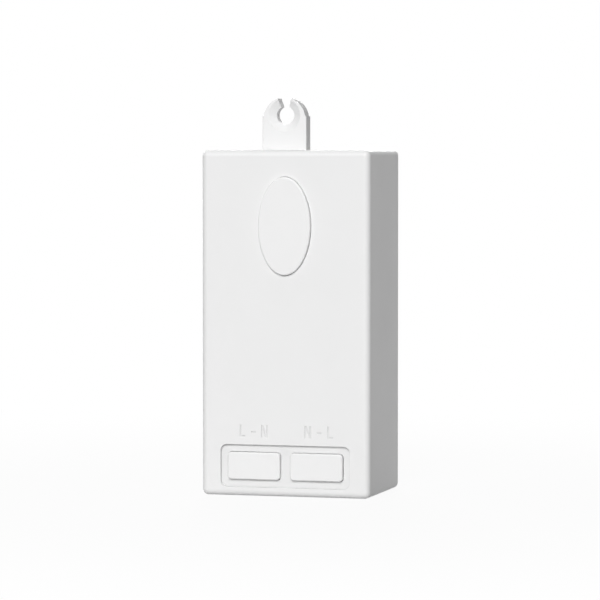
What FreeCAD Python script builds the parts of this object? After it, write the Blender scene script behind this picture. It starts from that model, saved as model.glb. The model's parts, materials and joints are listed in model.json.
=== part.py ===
import FreeCAD, Part
import os
import re
import Sketcher
from FreeCAD import Rotation, Vector

# Wall-hung receiver module with one oval key, two terminal keys and a hang tab on its rear cover.
# X runs right, Y runs from the front face to the rear, Z runs up.
# The origin is the middle of the underside. Sizes are millimetres.

document = FreeCAD.newDocument("Receiver")

# Driving sizes, each a plain number with its own name
SIZES = {
    # How far a cutting tool passes a face, and how far joined shapes run into each other
    "cut_margin": 1.0,
    "join_overlap": 0.2,
    # Housing
    "body_width": 40.2,
    "body_height": 80.0,
    "body_depth": 27.4,
    "front_wall": 2.0,
    "side_wall": 1.8,
    "end_wall": 1.8,
    "edge_radius": 1.4,
    "rear_edge_radius": 0.4,
    # Rear cover and its seat
    "cover_thickness": 2.0,
    "cover_rim": 0.9,
    "cover_clearance": 0.1,
    "cover_corner_radius": 0.6,
    # Hang tab
    "tab_width": 10.8,
    "tab_thickness": 3.5,
    "tab_offset": 6.95,
    "tab_shoulder_height": 8.0,
    "tab_root_length": 7.0,
    "tab_head_radius": 5.15,
    "tab_head_height": 7.3,
    "tab_edge_radius": 0.25,
    "hang_hole_radius": 2.15,
    "hang_hole_height": 8.2,
    "hang_neck_height": 1.5,
    "hang_neck_width": 1.6,
    "hang_mouth_width": 4.25,
    "countersink_radius": 3.9,
    "countersink_depth": 1.1,
    # Oval key
    "oval_width": 12.5,
    "oval_length": 22.65,
    "oval_drop": 17.5,
    "oval_proud": 0.9,
    "oval_edge_radius": 0.35,
    "oval_flange_lip": 0.9,
    "oval_stem_radius": 1.6,
    "oval_stem_gap": 0.05,
    "oval_travel": 0.3,
    "key_gap": 0.09,
    "flange_thickness": 1.0,
    "flange_seat_gap": 0.05,
    # Pocket and terminal keys
    "pocket_width": 31.0,
    "pocket_height": 9.9,
    "pocket_middle": 7.0,
    "pocket_depth": 0.85,
    "pocket_radius": 1.5,
    "key_width": 12.6,
    "key_height": 6.35,
    "key_pitch": 14.96,
    "key_proud": 1.05,
    "key_corner_radius": 0.9,
    "key_edge_radius": 0.35,
    "key_flange_lip": 0.8,
    "key_travel": 0.9,
    "plunger_width": 3.2,
    "plunger_height": 2.2,
    # Engraved terminal marks
    "mark_height": 2.85,
    "mark_stroke": 0.4,
    "mark_depth": 0.25,
    "mark_middle": 15.1,
    "mark_spacing": 2.65,
    "mark_foot": 1.3,
    "mark_letter_width": 1.65,
    "mark_dash": 1.15,
    "mark_slash": 0.52,
    "input_mark_place": 7.5,
    "output_mark_place": 8.2,
    # Screws, bosses and pillars
    "boss_radius": 2.3,
    "boss_side_gap": 0.6,
    "boss_top_gap": 1.7,
    "boss_rib": 1.2,
    "pillar_radius": 2.4,
    "screw_radius": 1.25,
    "screw_length": 12.0,
    "screw_head_radius": 2.3,
    "screw_head_thickness": 1.3,
    "screw_head_depth": 1.6,
    "screw_head_clearance": 0.2,
    "screw_slot": 0.6,
    "screw_slot_length": 3.0,
    "pilot_relief": 0.5,
    "screw_hole_clearance": 0.05,
    "screw_pass_clearance": 0.2,
    # Wire entries and terminals
    "wire_entry_radius": 1.6,
    "wire_depth": 14.6,
    "pole_pitch": 5.08,
    "terminal_width": 12.6,
    "terminal_height": 12.0,
    "terminal_front_gap": 0.75,
    "terminal_wall": 0.9,
    "terminal_clearance": 0.2,
    "strip_thickness": 0.8,
    "strip_width": 2.8,
    "strip_clearance": 0.1,
    "spring_thickness": 0.35,
    "spring_width": 2.4,
    "spring_knee": 8.5,
    "spring_bend": 1.5,
    "spring_tip_height": 4.3,
    "spring_gap": 0.05,
    # Main board
    "board_front": 18.4,
    "board_thickness": 1.6,
    "board_margin": 0.5,
    "board_end_margin": 1.2,
    "solder_length": 1.2,
    "lead_radius": 0.4,
    "lead_root": 1.0,
    # Control board
    "control_front": 9.0,
    "control_thickness": 1.2,
    "control_width": 24.0,
    "control_height": 21.3,
    "control_drop": 12.25,
    "spacer_radius": 1.7,
    "spacer_pin_radius": 1.1,
    "spacer_margin": 3.4,
    "pin_width": 0.64,
    "pin_pitch": 2.54,
    "strip_body": 2.5,
    "header_margin": 0.5,
    # Tact switch
    "tact_size": 6.0,
    "tact_height": 3.4,
    "tact_plunger_radius": 1.7,
    "tact_plunger_proud": 0.7,
    "tact_plate": 0.3,
    "tact_clearance": 0.06,
    "tact_play": 0.02,
    "tact_collar": 0.15,
    "tact_well_gap": 0.3,
    "dome_room": 0.7,
    "dome_lip": 0.2,
    "dome_height": 0.5,
    "dome_thickness": 0.12,
    # Relay
    "relay_width": 15.4,
    "relay_length": 19.0,
    "relay_height": 15.0,
    "relay_wall": 0.6,
    "relay_margin": 1.2,
    "relay_gap": 0.9,
    "relay_base": 1.5,
    "relay_fit": 0.1,
    "relay_pin_gap": 1.0,
    "yoke_thickness": 1.2,
    "yoke_width": 9.0,
    "core_radius": 1.9,
    "bobbin_wall": 0.5,
    "bobbin_flange": 0.7,
    "winding_radius": 4.6,
    "coil_height": 8.2,
    "coil_fit": 0.05,
    "armature_thickness": 1.0,
    "armature_gap": 0.5,
    "armature_play": 0.05,
    "contact_gap": 0.9,
    "contact_radius": 1.2,
    "contact_thickness": 0.6,
    "leaf_thickness": 0.2,
    "leaf_width": 3.6,
    # Transformer
    "core_width": 13.0,
    "core_length": 12.6,
    "core_limb": 3.4,
    "core_depth": 5.6,
    "core_end": 2.3,
    "former_cheek": 1.25,
    "transformer_margin": 1.6,
    "transformer_gap": 1.7,
    "transformer_winding_radius": 4.8,
    "transformer_stand": 3.6,
    # Small power parts
    "fuse_radius": 1.9,
    "fuse_length": 8.0,
    "fuse_margin": 4.8,
    "fuse_gap": 0.4,
    "fuse_lead_reach": 1.2,
    "varistor_radius": 3.6,
    "varistor_thickness": 3.2,
    "varistor_side_gap": 1.3,
    "film_width": 12.6,
    "film_thickness": 5.4,
    "film_height": 11.2,
    "film_side_gap": 0.6,
    "film_gap": 2.7,
    "reservoir_radius": 5.0,
    "reservoir_height": 7.4,
    "reservoir_place": 6.2,
    "output_can_radius": 3.15,
    "output_can_height": 7.0,
    "output_can_place": 5.4,
    "can_leg_pitch": 2.5,
    "can_shoulder": 0.4,
    "chip_lead": 0.25,
    "bridge_width": 6.0,
    "bridge_length": 4.8,
    "bridge_thickness": 2.4,
    "bridge_margin": 2.3,
    "supply_width": 3.9,
    "supply_length": 4.9,
    "supply_thickness": 1.5,
    "supply_margin": 3.4,
    "driver_width": 1.6,
    "driver_length": 2.9,
    "driver_thickness": 1.1,
    "diode_width": 4.2,
    "diode_length": 2.6,
    "diode_thickness": 1.9,
    "edge_chip_margin": 1.6,
    "edge_chip_gap": 7.7,
    "controller_width": 4.4,
    "controller_length": 6.5,
    "controller_thickness": 1.0,
    "radio_width": 3.9,
    "radio_length": 4.9,
    "radio_thickness": 1.5,
    "crystal_width": 3.2,
    "crystal_length": 2.5,
    "crystal_thickness": 0.9,
    "led_width": 2.0,
    "led_length": 1.25,
    "led_thickness": 0.75,
    "led_drop": 5.6,
    "control_chip_place": 7.6,
    "control_chip_rise": 2.8,
    "antenna_radius": 0.4,
    "antenna_foot_drop": 5.0,
}

# How many leads stand on each long side of a chip
LEAD_COUNTS = {
    "bridge": 2,
    "supply": 4,
    "driver": 2,
    "diode": 1,
    "controller": 10,
    "radio": 4,
    "crystal": 1,
    "led": 1,
}

# Places worked out from the sizes; places along Y are counted back from the front face
PLACES = {
    "front_plane": "oval_proud - (body_depth + oval_proud) / 2",
    "cavity_width": "body_width - 2 * side_wall",
    "oval_height": "body_height - oval_drop",
    "boss_place": "body_width / 2 - side_wall - boss_side_gap - boss_radius",
    "terminal_bottom": "end_wall + terminal_clearance",
    "film_bottom": "terminal_bottom + terminal_height + film_gap",
    "film_place": "boss_place - boss_radius - film_side_gap - film_width / 2",
    "lower_boss_height": "film_bottom + film_thickness / 2",
    "upper_boss_height": "body_height - end_wall - boss_top_gap - boss_radius",
    "cavity_height": "body_height - 2 * end_wall",
    "cover_front": "body_depth - cover_thickness",
    "cover_width": "body_width - 2 * cover_rim - 2 * cover_clearance",
    "cover_height": "body_height - 2 * cover_rim - 2 * cover_clearance",
    "tab_front": "body_depth - tab_thickness",
    "flange_front": "front_wall + flange_seat_gap",
    "flange_rear": "flange_front + flange_thickness",
    "key_front": "pocket_depth - key_proud",
    "board_rear": "board_front + board_thickness",
    "board_width": "body_width - 2 * side_wall - 2 * board_margin",
    "board_height": "body_height - 2 * end_wall - 2 * board_end_margin",
    "board_bottom": "end_wall + board_end_margin",
    "pin_end": "board_rear + solder_length",
    "control_rear": "control_front + control_thickness",
    "tact_front": "control_front - tact_height",
    "plunger_front": "tact_front - tact_plunger_proud",
    "terminal_front": "flange_rear + key_travel + terminal_front_gap",
    "terminal_depth": "board_front - terminal_front",
    "cell_width": "pole_pitch - terminal_wall",
    "cell_bottom": "terminal_bottom + terminal_wall",
    "cell_top": "terminal_bottom + terminal_height - terminal_wall",
    "cell_rear": "board_front - terminal_wall",
    "strip_front": "cell_rear - strip_thickness",
    "relay_bottom": "film_bottom + film_thickness + relay_gap",
    "relay_front": "board_front - relay_height",
    "relay_inner_width": "relay_width - 2 * relay_wall - 2 * relay_fit",
    "relay_inner_length": "relay_length - 2 * relay_wall - 2 * relay_fit",
    "relay_floor": "board_front - relay_base",
    "yoke_bottom": "relay_bottom + relay_wall + 3 * relay_fit",
    "coil_rear": "relay_floor - yoke_thickness",
    "coil_front": "coil_rear - coil_height",
    "coil_middle": "yoke_bottom + yoke_thickness + winding_radius + bobbin_wall + coil_fit",
    "armature_rear": "coil_front - armature_gap",
    "leaf_end": "relay_bottom + relay_length - 2 * relay_wall - 4 * relay_fit",
    "contact_middle": "leaf_end - contact_radius",
    "relay_place": "board_width / 2 - relay_margin - relay_width / 2",
    "fuse_place": "board_width / 2 - fuse_margin - fuse_length / 2",
    "fuse_height": "lower_boss_height + boss_radius + fuse_gap + fuse_radius",
    "varistor_place": "boss_place - boss_radius - varistor_side_gap - varistor_radius",
    "varistor_height": "lower_boss_height - varistor_thickness",
    "transformer_place": "board_width / 2 - transformer_margin - core_width / 2",
    "transformer_bottom": "fuse_height + fuse_radius + transformer_gap",
    "bridge_place": "board_width / 2 - bridge_margin - bridge_width / 2",
    "supply_place": "board_width / 2 - supply_margin - supply_width / 2",
    "driver_place": "board_width / 2 - edge_chip_margin - driver_width / 2",
    "diode_place": "board_width / 2 - edge_chip_margin - diode_width / 2",
    "chip_level": "relay_bottom + relay_length + relay_gap",
    "control_bottom": "oval_height - control_drop",
    "control_top": "control_bottom + control_height",
    "header_level": "control_bottom + strip_body / 2 + header_margin",
    "spacer_place": "control_width / 2 - spacer_margin",
    "spacer_level": "control_top - spacer_margin",
    "antenna_place": "control_width / 2 - 4 * antenna_radius",
    "antenna_foot": "control_top - antenna_foot_drop",
    "edge_chip_level": "chip_level + supply_length + edge_chip_gap",
}

sizes = document.addObject("Spreadsheet::Sheet", "Sizes")
places = document.addObject("Spreadsheet::Sheet", "Places")


def fill(sheet, table, write):
    for row, name in enumerate(table, start=1):
        sheet.set(f"A{row}", name.replace("_", " "))
        sheet.set(f"B{row}", write(table[name]))
        sheet.setAlias(f"B{row}", name)


def formula(text):
    """Turns a rule in plain size names into one that points at the two sheets."""
    def point(found):
        word = found.group()
        if word in SIZES:
            return "Sizes." + word
        if word in PLACES:
            return "Places." + word
        return word
    return re.sub(r"[A-Za-z_]\w*", point, str(text))


fill(sizes, SIZES, str)
document.recompute()
fill(places, PLACES, lambda text: "=" + formula(text).replace("Places.", ""))
document.recompute()


def value(rule):
    """The number that a rule gives now."""
    names = {name: float(sizes.get(name)) for name in SIZES}
    names.update({name: float(places.get(name)) for name in PLACES})
    return FreeCAD.Units.parseQuantity(
        re.sub(r"[A-Za-z_]\w*", lambda found: f"({names[found.group()]:.9f})", str(rule))
    ).Value


def bind(item, **rules):
    for name, rule in rules.items():
        item.setExpression(name, formula(rule))


def put(item, x, y, z):
    """Places an item: x and z from the origin, y counted back from the front face."""
    item.setExpression("Placement.Base.x", formula(x))
    item.setExpression("Placement.Base.y", formula(f"front_plane + ({y})"))
    item.setExpression("Placement.Base.z", formula(z))


TURNS = {
    "X": Rotation(Vector(0, 1, 0), 90),
    "Y": Rotation(Vector(1, 0, 0), -90),
    "Z": Rotation(),
}


def block(name, x, y, z, width, depth, height):
    """A box centred on x, that starts at y and z."""
    item = document.addObject("Part::Box", name)
    bind(item, Length=width, Width=depth, Height=height)
    put(item, f"({x}) - ({width}) / 2", y, z)
    return item


def rod(name, x, y, z, radius, length, along="Y"):
    """A cylinder that starts at a point and runs along one axis."""
    item = document.addObject("Part::Cylinder", name)
    bind(item, Radius=radius, Height=length)
    item.Placement.Rotation = TURNS[along]
    put(item, x, y, z)
    return item


def cone(name, x, y, z, front_radius, rear_radius, length):
    item = document.addObject("Part::Cone", name)
    bind(item, Radius1=front_radius, Radius2=rear_radius, Height=length)
    item.Placement.Rotation = TURNS["Y"]
    put(item, x, y, z)
    return item


def oval(name, y, z, half_width, half_length, depth):
    """An elliptical plate on the middle plane, that starts at y."""
    outline = document.addObject("Part::Ellipse", name + "Outline")
    bind(outline, MajorRadius=half_length, MinorRadius=half_width)
    outline.Placement.Rotation = Rotation(Vector(0, 0, 1), Vector(1, 0, 0), Vector(0, 1, 0), "XYZ")
    put(outline, "0", y, z)
    item = document.addObject("Part::Extrusion", name)
    item.Base = outline
    item.DirMode = "Custom"
    item.Dir = Vector(0, 1, 0)
    item.Solid = True
    bind(item, LengthFwd=depth)
    return item


def fuse(name, *items):
    item = document.addObject("Part::MultiFuse", name)
    item.Shapes = list(items)
    item.Refine = True
    return item


def cut(name, base, *tools):
    item = document.addObject("Part::Cut", name)
    item.Base = base
    item.Tool = tools[0] if len(tools) == 1 else fuse(name + "Tools", *tools)
    item.Refine = True
    return item


def group(name, *items):
    """Separate solids that share one node."""
    item = document.addObject("Part::Compound", name)
    item.Links = list(items)
    return item


def origin_plane(body, role):
    for item in body.Origin.OriginFeatures:
        if item.Role == role:
            return item
    raise RuntimeError("No plane " + role)


def sketch_on(body, role, name, offset):
    sketch = body.newObject("Sketcher::SketchObject", name)
    sketch.AttachmentSupport = [(origin_plane(body, role), "")]
    sketch.MapMode = "FlatFace"
    sketch.setExpression("AttachmentOffset.Base.z", formula(offset))
    return sketch


def polygon(sketch, corners):
    """A closed outline; each corner is held at two bound distances from the sketch's origin."""
    points = [Vector(value(across), value(up), 0) for across, up in corners]
    for index, point in enumerate(points):
        sketch.addGeometry(Part.LineSegment(point, points[(index + 1) % len(points)]), False)
    for index in range(len(points)):
        sketch.addConstraint(Sketcher.Constraint("Coincident", index, 2, (index + 1) % len(points), 1))
    for index, (across, up) in enumerate(corners):
        held = (("DistanceX", across, points[index].x), ("DistanceY", up, points[index].y))
        for kind, rule, number in held:
            place = sketch.addConstraint(Sketcher.Constraint(kind, -1, 1, index, 1, number))
            sketch.setExpression(f"Constraints[{place}]", formula(rule))


def profile(name, x, width, corners):
    """A strip of one width along X, from an outline of (y, z) corners seen from the side."""
    body = document.addObject("PartDesign::Body", name)
    sketch = sketch_on(body, "YZ_Plane", name + "Outline", f"({x}) - ({width}) / 2")
    polygon(sketch, [(f"front_plane + ({y})", z) for y, z in corners])
    pad = body.newObject("PartDesign::Pad", name + "Pad")
    pad.Profile = sketch
    bind(pad, Length=width)
    body.Tip = pad
    return body


def plate(name, corners, y, depth):
    """A plate of one depth along Y, from an outline of (x, z) corners seen from the front."""
    body = document.addObject("PartDesign::Body", name)
    sketch = sketch_on(body, "XZ_Plane", name + "Outline", f"-(front_plane + ({y}))")
    polygon(sketch, corners)
    pad = body.newObject("PartDesign::Pad", name + "Pad")
    pad.Profile = sketch
    pad.Reversed = True
    bind(pad, Length=depth)
    body.Tip = pad
    return body


def rectangle(x, z, width, height):
    """Corners of an upright rectangle centred on x that starts at z."""
    left, right = f"({x}) - ({width}) / 2", f"({x}) + ({width}) / 2"
    top = f"({z}) + ({height})"
    return [(left, z), (right, z), (right, top), (left, top)]


def round_edges(body, name, radius, wanted):
    """Rounds the edges of a body's last feature that the test picks."""
    document.recompute()
    base = body.Tip
    names = [f"Edge{index}" for index, edge in enumerate(base.Shape.Edges, start=1) if wanted(edge)]
    if not names:
        raise RuntimeError("No edge to round for " + name)
    fillet = body.newObject("PartDesign::Fillet", name)
    fillet.Base = (base, names)
    bind(fillet, Radius=radius)
    body.Tip = fillet
    return fillet


def runs_along(edge, axis):
    box = edge.BoundBox
    spans = {"X": box.XLength, "Y": box.YLength, "Z": box.ZLength}
    return all(span < 1e-6 or name == axis for name, span in spans.items())


def at_depth(edge, rule):
    """True where an edge lies in the plane at this distance behind the front face."""
    depth = value(f"front_plane + ({rule})")
    return abs(edge.BoundBox.YMin - depth) < 1e-6 and abs(edge.BoundBox.YMax - depth) < 1e-6


NODES = {}


def node(label, item):
    """Names an object as one sub-part of the assembly."""
    item.Label = label
    NODES[label] = item
    return item


# Each boss stands on one side of the middle at one height
BOSSES = {
    "LeftLower": ("-", "lower_boss_height"),
    "LeftUpper": ("-", "upper_boss_height"),
    "RightLower": ("", "lower_boss_height"),
    "RightUpper": ("", "upper_boss_height"),
}
PAIRS = {"Input": "-key_pitch / 2", "Output": "key_pitch / 2"}
POLES = {"Left": "-pole_pitch / 2", "Right": "pole_pitch / 2"}


# Front housing: a deep shell that is open at the rear
def letter_bars(name, x, letter):
    low = "mark_middle - mark_height / 2"
    stem = ("mark_stroke", "mark_depth", "mark_height")
    if letter == "L":
        left = f"({x}) - mark_foot / 2 + mark_stroke / 2"
        return [
            block(name + "Stem", left, "0", low, *stem),
            block(name + "Foot", x, "0", low, "mark_foot", "mark_depth", "mark_stroke"),
        ]
    left = f"({x}) - mark_letter_width / 2"
    right = f"({x}) + mark_letter_width / 2"
    high = "mark_middle + mark_height / 2"
    slash = [
        (left, high),
        (f"{left} + mark_slash", high),
        (right, low),
        (f"{right} - mark_slash", low),
    ]
    return [
        block(name + "Left", f"{left} + mark_stroke / 2", "0", low, *stem),
        block(name + "Right", f"{right} - mark_stroke / 2", "0", low, *stem),
        plate(name + "Slash", slash, "0", "mark_depth"),
    ]


def terminal_marks(name, x, letters):
    bars = letter_bars(name + "First", f"({x}) - mark_spacing", letters[0])
    bars += letter_bars(name + "Last", f"({x}) + mark_spacing", letters[1])
    dash_height = "mark_middle - mark_stroke"
    bars.append(block(name + "Dash", x, "0", dash_height, "mark_dash", "mark_depth", "mark_stroke"))
    return bars


def rounded_slab(name, x, y, z, width, depth, height, corner):
    body = plate(name, rectangle(x, z, width, height), y, depth)
    round_edges(body, name + "Corners", corner, lambda edge: runs_along(edge, "Y"))
    return body


def make_front_housing():
    shell = plate("Shell", rectangle("0", "0", "body_width", "body_height"), "0", "body_depth")
    round_edges(
        shell, "ShellEdges", "edge_radius",
        lambda edge: runs_along(edge, "Y") or at_depth(edge, "0"),
    )
    round_edges(shell, "ShellRear", "rear_edge_radius", lambda edge: at_depth(edge, "body_depth"))
    cavity_depth = "body_depth - front_wall"
    cavity = block("Cavity", "0", "front_wall", "end_wall", "cavity_width", cavity_depth, "cavity_height")
    rebate_height = "body_height - 2 * cover_rim"
    rebate = block(
        "Rebate", "0", "cover_front", "cover_rim",
        "body_width - 2 * cover_rim", "cover_thickness", rebate_height,
    )
    notch = block(
        "TabNotch", "-tab_offset", "tab_front - cover_clearance", "body_height - end_wall - cut_margin",
        "tab_width + 2 * cover_clearance", "tab_thickness + cover_clearance + cut_margin",
        "end_wall + 2 * cut_margin",
    )
    hollow = cut("HollowShell", shell, cavity, rebate, notch)

    bosses = []
    for name, (side, height) in BOSSES.items():
        place = side + "boss_place"
        start = "front_wall - join_overlap"
        reach = f"board_front - ({start})"
        bosses.append(rod(name + "Boss", place, start, height, "boss_radius", reach))
        rib_width = "cavity_width / 2 - boss_place + 2 * join_overlap"
        bosses.append(block(
            name + "Rib", f"{side}(boss_place + ({rib_width}) / 2)", start, f"{height} - boss_rib / 2",
            rib_width, f"{reach} - boss_rib", "boss_rib",
        ))
    solid = fuse("BossedShell", hollow, *bosses)

    tools = []
    for name, (side, height) in BOSSES.items():
        start = "body_depth - screw_head_depth - screw_length - pilot_relief"
        reach = f"board_front + cut_margin - ({start})"
        radius = "screw_radius + screw_hole_clearance"
        tools.append(rod(name + "Pilot", side + "boss_place", start, height, radius, reach))
    tools.append(rounded_slab(
        "Pocket", "0", "-cut_margin", "pocket_middle - pocket_height / 2",
        "pocket_width", "pocket_depth + cut_margin", "pocket_height", "pocket_radius",
    ))
    for pair, place in PAIRS.items():
        tools.append(rounded_slab(
            pair + "Window", place, "-cut_margin", "pocket_middle - key_height / 2 - key_gap",
            "key_width + 2 * key_gap", "front_wall + 2 * cut_margin", "key_height + 2 * key_gap",
            "key_corner_radius + key_gap",
        ))
        for pole, shift in POLES.items():
            spot = f"{place} + ({shift})"
            tools.append(rod(
                pair + pole + "Entry", spot, "wire_depth", "-cut_margin",
                "wire_entry_radius", "end_wall + 2 * cut_margin", "Z",
            ))
    tools.append(oval(
        "OvalWindow", "-cut_margin", "oval_height",
        "oval_width / 2 + key_gap", "oval_length / 2 + key_gap", "front_wall + 2 * cut_margin",
    ))
    tools += terminal_marks("InputMark", "-input_mark_place", "LN")
    tools += terminal_marks("OutputMark", "output_mark_place", "NL")
    return cut("FrontHousing", solid, *tools)


node("front_housing", make_front_housing())


# Rear cover with its hang tab and screw pillars
def make_rear_cover():
    panel = rounded_slab(
        "Panel", "0", "cover_front", "cover_rim + cover_clearance",
        "cover_width", "cover_thickness", "cover_height", "cover_corner_radius",
    )
    root_bottom = "body_height - end_wall - tab_root_length"
    strap_height = "tab_shoulder_height + end_wall + tab_root_length"
    strap = plate(
        "Strap", rectangle("-tab_offset", root_bottom, "tab_width", strap_height),
        "tab_front", "tab_thickness",
    )
    round_edges(
        strap, "StrapEdges", "tab_edge_radius",
        lambda edge: runs_along(edge, "Z") and at_depth(edge, "tab_front"),
    )
    head_height = "body_height + tab_head_height"
    head = rod("TabHead", "-tab_offset", "tab_front", head_height, "tab_head_radius", "tab_thickness")
    pillars = []
    for name, (side, height) in BOSSES.items():
        pillars.append(rod(
            name + "Pillar", side + "boss_place", "board_rear", height,
            "pillar_radius", "cover_front - board_rear + join_overlap",
        ))
    solid = fuse("CoverSolid", panel, strap, head, *pillars)

    hole_height = "body_height + hang_hole_height"
    start = "tab_front - cut_margin"
    reach = "tab_thickness + 2 * cut_margin"
    tools = [
        rod("HangHole", "-tab_offset", start, hole_height, "hang_hole_radius", reach),
        cone(
            "HangSink", "-tab_offset", "tab_front", hole_height,
            "countersink_radius", "hang_hole_radius", "countersink_depth",
        ),
    ]
    neck, mouth = "hang_neck_width / 2", "hang_mouth_width / 2"
    top = f"{head_height} + tab_head_radius + cut_margin"
    neck_height = f"{hole_height} + hang_neck_height"
    mouth_corners = [
        (f"-tab_offset - {neck}", neck_height),
        (f"-tab_offset + {neck}", neck_height),
        (f"-tab_offset + {mouth}", top),
        (f"-tab_offset - {mouth}", top),
    ]
    tools.append(plate("HangMouth", mouth_corners, start, reach))
    for name, (side, height) in BOSSES.items():
        place = side + "boss_place"
        tools.append(rod(
            name + "Pass", place, "board_rear - cut_margin", height,
            "screw_radius + screw_pass_clearance", "body_depth - board_rear + 2 * cut_margin",
        ))
        tools.append(rod(
            name + "Sink", place, "body_depth - screw_head_depth", height,
            "screw_head_radius + screw_head_clearance", "screw_head_depth + cut_margin",
        ))
    return cut("RearCover", solid, *tools)


node("rear_cover", make_rear_cover())


# Housing screws with cross-slotted heads
def make_screw(name, place, height):
    head_front = "body_depth - screw_head_depth"
    shank = rod(
        name + "Shank", place, f"{head_front} - screw_length", height,
        "screw_radius", "screw_length + join_overlap",
    )
    head = rod(name + "Head", place, head_front, height, "screw_head_radius", "screw_head_thickness")
    solid = fuse(name + "Solid", shank, head)
    slot_front = f"{head_front} + screw_head_thickness / 2"
    tools = [
        block(
            name + "Across", place, slot_front, f"{height} - screw_slot / 2",
            "screw_slot_length", "screw_head_thickness", "screw_slot",
        ),
        block(
            name + "Upright", place, slot_front, f"{height} - screw_slot_length / 2",
            "screw_slot", "screw_head_thickness", "screw_slot_length",
        ),
    ]
    return cut(name, solid, *tools)


screws = []
for name, (side, height) in BOSSES.items():
    screws.append(make_screw(name + "Screw", side + "boss_place", height))
node("housing_screws", group("HousingScrews", *screws))


# Oval key: proud cap, retaining flange behind the wall and a stem to the switch
def make_oval_key():
    cap = oval(
        "OvalCap", "-oval_proud", "oval_height",
        "oval_width / 2", "oval_length / 2", "oval_proud + flange_front",
    )
    document.recompute()
    softened = document.addObject("Part::Fillet", "OvalCapEdge")
    softened.Base = cap
    radius = value("oval_edge_radius")
    front = [index for index, edge in enumerate(cap.Shape.Edges, start=1) if at_depth(edge, "-oval_proud")]
    softened.Edges = [(index, radius, radius) for index in front]
    flange = oval(
        "OvalFlange", "flange_front", "oval_height",
        "oval_width / 2 + oval_flange_lip", "oval_length / 2 + oval_flange_lip", "flange_thickness",
    )
    stem_reach = "plunger_front - oval_stem_gap - flange_rear + join_overlap"
    stem = rod("OvalStem", "0", "flange_rear - join_overlap", "oval_height", "oval_stem_radius", stem_reach)
    return fuse("OvalKey", softened, flange, stem)


node("oval_key", make_oval_key())


# Terminal keys: each one opens the two wire clamps behind it
def make_terminal_key(name, place):
    cap = rounded_slab(
        name + "Cap", place, "key_front", "pocket_middle - key_height / 2",
        "key_width", "flange_front - key_front", "key_height", "key_corner_radius",
    )
    round_edges(cap, name + "CapEdge", "key_edge_radius", lambda edge: at_depth(edge, "key_front"))
    flange = block(
        name + "Flange", place, "flange_front", "pocket_middle - key_height / 2 - key_flange_lip",
        "key_width + 2 * key_flange_lip", "flange_thickness", "key_height + 2 * key_flange_lip",
    )
    plungers = []
    for pole, shift in POLES.items():
        plungers.append(block(
            name + pole + "Plunger", f"{place} + ({shift})", "flange_rear - join_overlap",
            "pocket_middle - plunger_height / 2",
            "plunger_width", "spring_knee - spring_gap - flange_rear + join_overlap", "plunger_height",
        ))
    return fuse(name, cap, flange, *plungers)


for pair, place in PAIRS.items():
    node(pair.lower() + "_key", make_terminal_key(pair + "Key", place))


# Terminal blocks, each with two poles: a contact strip and a clamp spring
def each_pole():
    for pair, place in PAIRS.items():
        for pole, shift in POLES.items():
            yield pair, pole, f"{place} + ({shift})"


def pin_slot(name, x, y, depth):
    """The slot that lets a contact strip's pin through a wall or a board."""
    return block(
        name, x, y, "cell_top - 2 * strip_thickness - strip_clearance",
        "strip_width + 2 * strip_clearance", depth, "strip_thickness + 2 * strip_clearance",
    )


def make_terminal_block(pair, place):
    tools = []
    for pole, shift in POLES.items():
        spot = f"{place} + ({shift})"
        name = pair + pole
        tools += [
            block(
                name + "Cell", spot, "terminal_front - cut_margin", "cell_bottom",
                "cell_width", "cell_rear - terminal_front + cut_margin", "cell_top - cell_bottom",
            ),
            rod(
                name + "Way", spot, "wire_depth", "terminal_bottom - cut_margin",
                "wire_entry_radius", "terminal_wall + 2 * cut_margin", "Z",
            ),
            pin_slot(name + "PinWay", spot, "cell_rear - cut_margin", "terminal_wall + 2 * cut_margin"),
        ]
    solid = block(
        pair + "BlockSolid", place, "terminal_front", "terminal_bottom",
        "terminal_width", "terminal_depth", "terminal_height",
    )
    return cut(pair + "Block", solid, *tools)


def make_contact_strip(name, x):
    pin_top = "cell_top - strip_thickness"
    pin_low = "cell_top - 2 * strip_thickness"
    corners = [
        ("strip_front", "cell_bottom + strip_clearance"),
        ("cell_rear - strip_clearance", "cell_bottom + strip_clearance"),
        ("cell_rear - strip_clearance", pin_low),
        ("pin_end", pin_low),
        ("pin_end", pin_top),
        ("cell_rear - strip_clearance", pin_top),
        ("cell_rear - strip_clearance", "cell_top - strip_clearance"),
        ("strip_front", "cell_top - strip_clearance"),
    ]
    return profile(name, x, "strip_width", corners)


def make_clamp_spring(name, x):
    heel = "strip_front - spring_gap"
    top = "cell_top - strip_clearance"
    knee_low = "pocket_middle - plunger_height / 2 - spring_thickness"
    corners = [
        (heel, top),
        ("spring_knee + spring_bend", top),
        ("spring_knee", f"{top} - spring_bend"),
        ("spring_knee", knee_low),
        (heel, "spring_tip_height"),
        (heel, "spring_tip_height + spring_thickness"),
        ("spring_knee + spring_thickness", f"{knee_low} + spring_thickness"),
        ("spring_knee + spring_thickness", f"{top} - spring_bend - spring_thickness / 2"),
        ("spring_knee + spring_bend + spring_thickness / 2", f"{top} - spring_thickness"),
        (heel, f"{top} - spring_thickness"),
    ]
    return profile(name, x, "spring_width", corners)


for pair, place in PAIRS.items():
    node(pair.lower() + "_terminal_block", make_terminal_block(pair, place))
    strips = []
    springs = []
    for pole, shift in POLES.items():
        spot = f"{place} + ({shift})"
        strips.append(make_contact_strip(pair + pole + "Strip", spot))
        springs.append(make_clamp_spring(pair + pole + "Spring", spot))
    node(pair.lower() + "_contact_strips", group(pair + "Strips", *strips))
    node(pair.lower() + "_clamp_springs", group(pair + "Springs", *springs))


# Leads that pass through the main board, each as its name, x and z
LEADS = []


def lead(name, x, z, start):
    """A round lead from its part to just behind the main board."""
    LEADS.append((name, x, z))
    return rod(name, x, start, z, "lead_radius", f"pin_end - ({start})")


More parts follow.
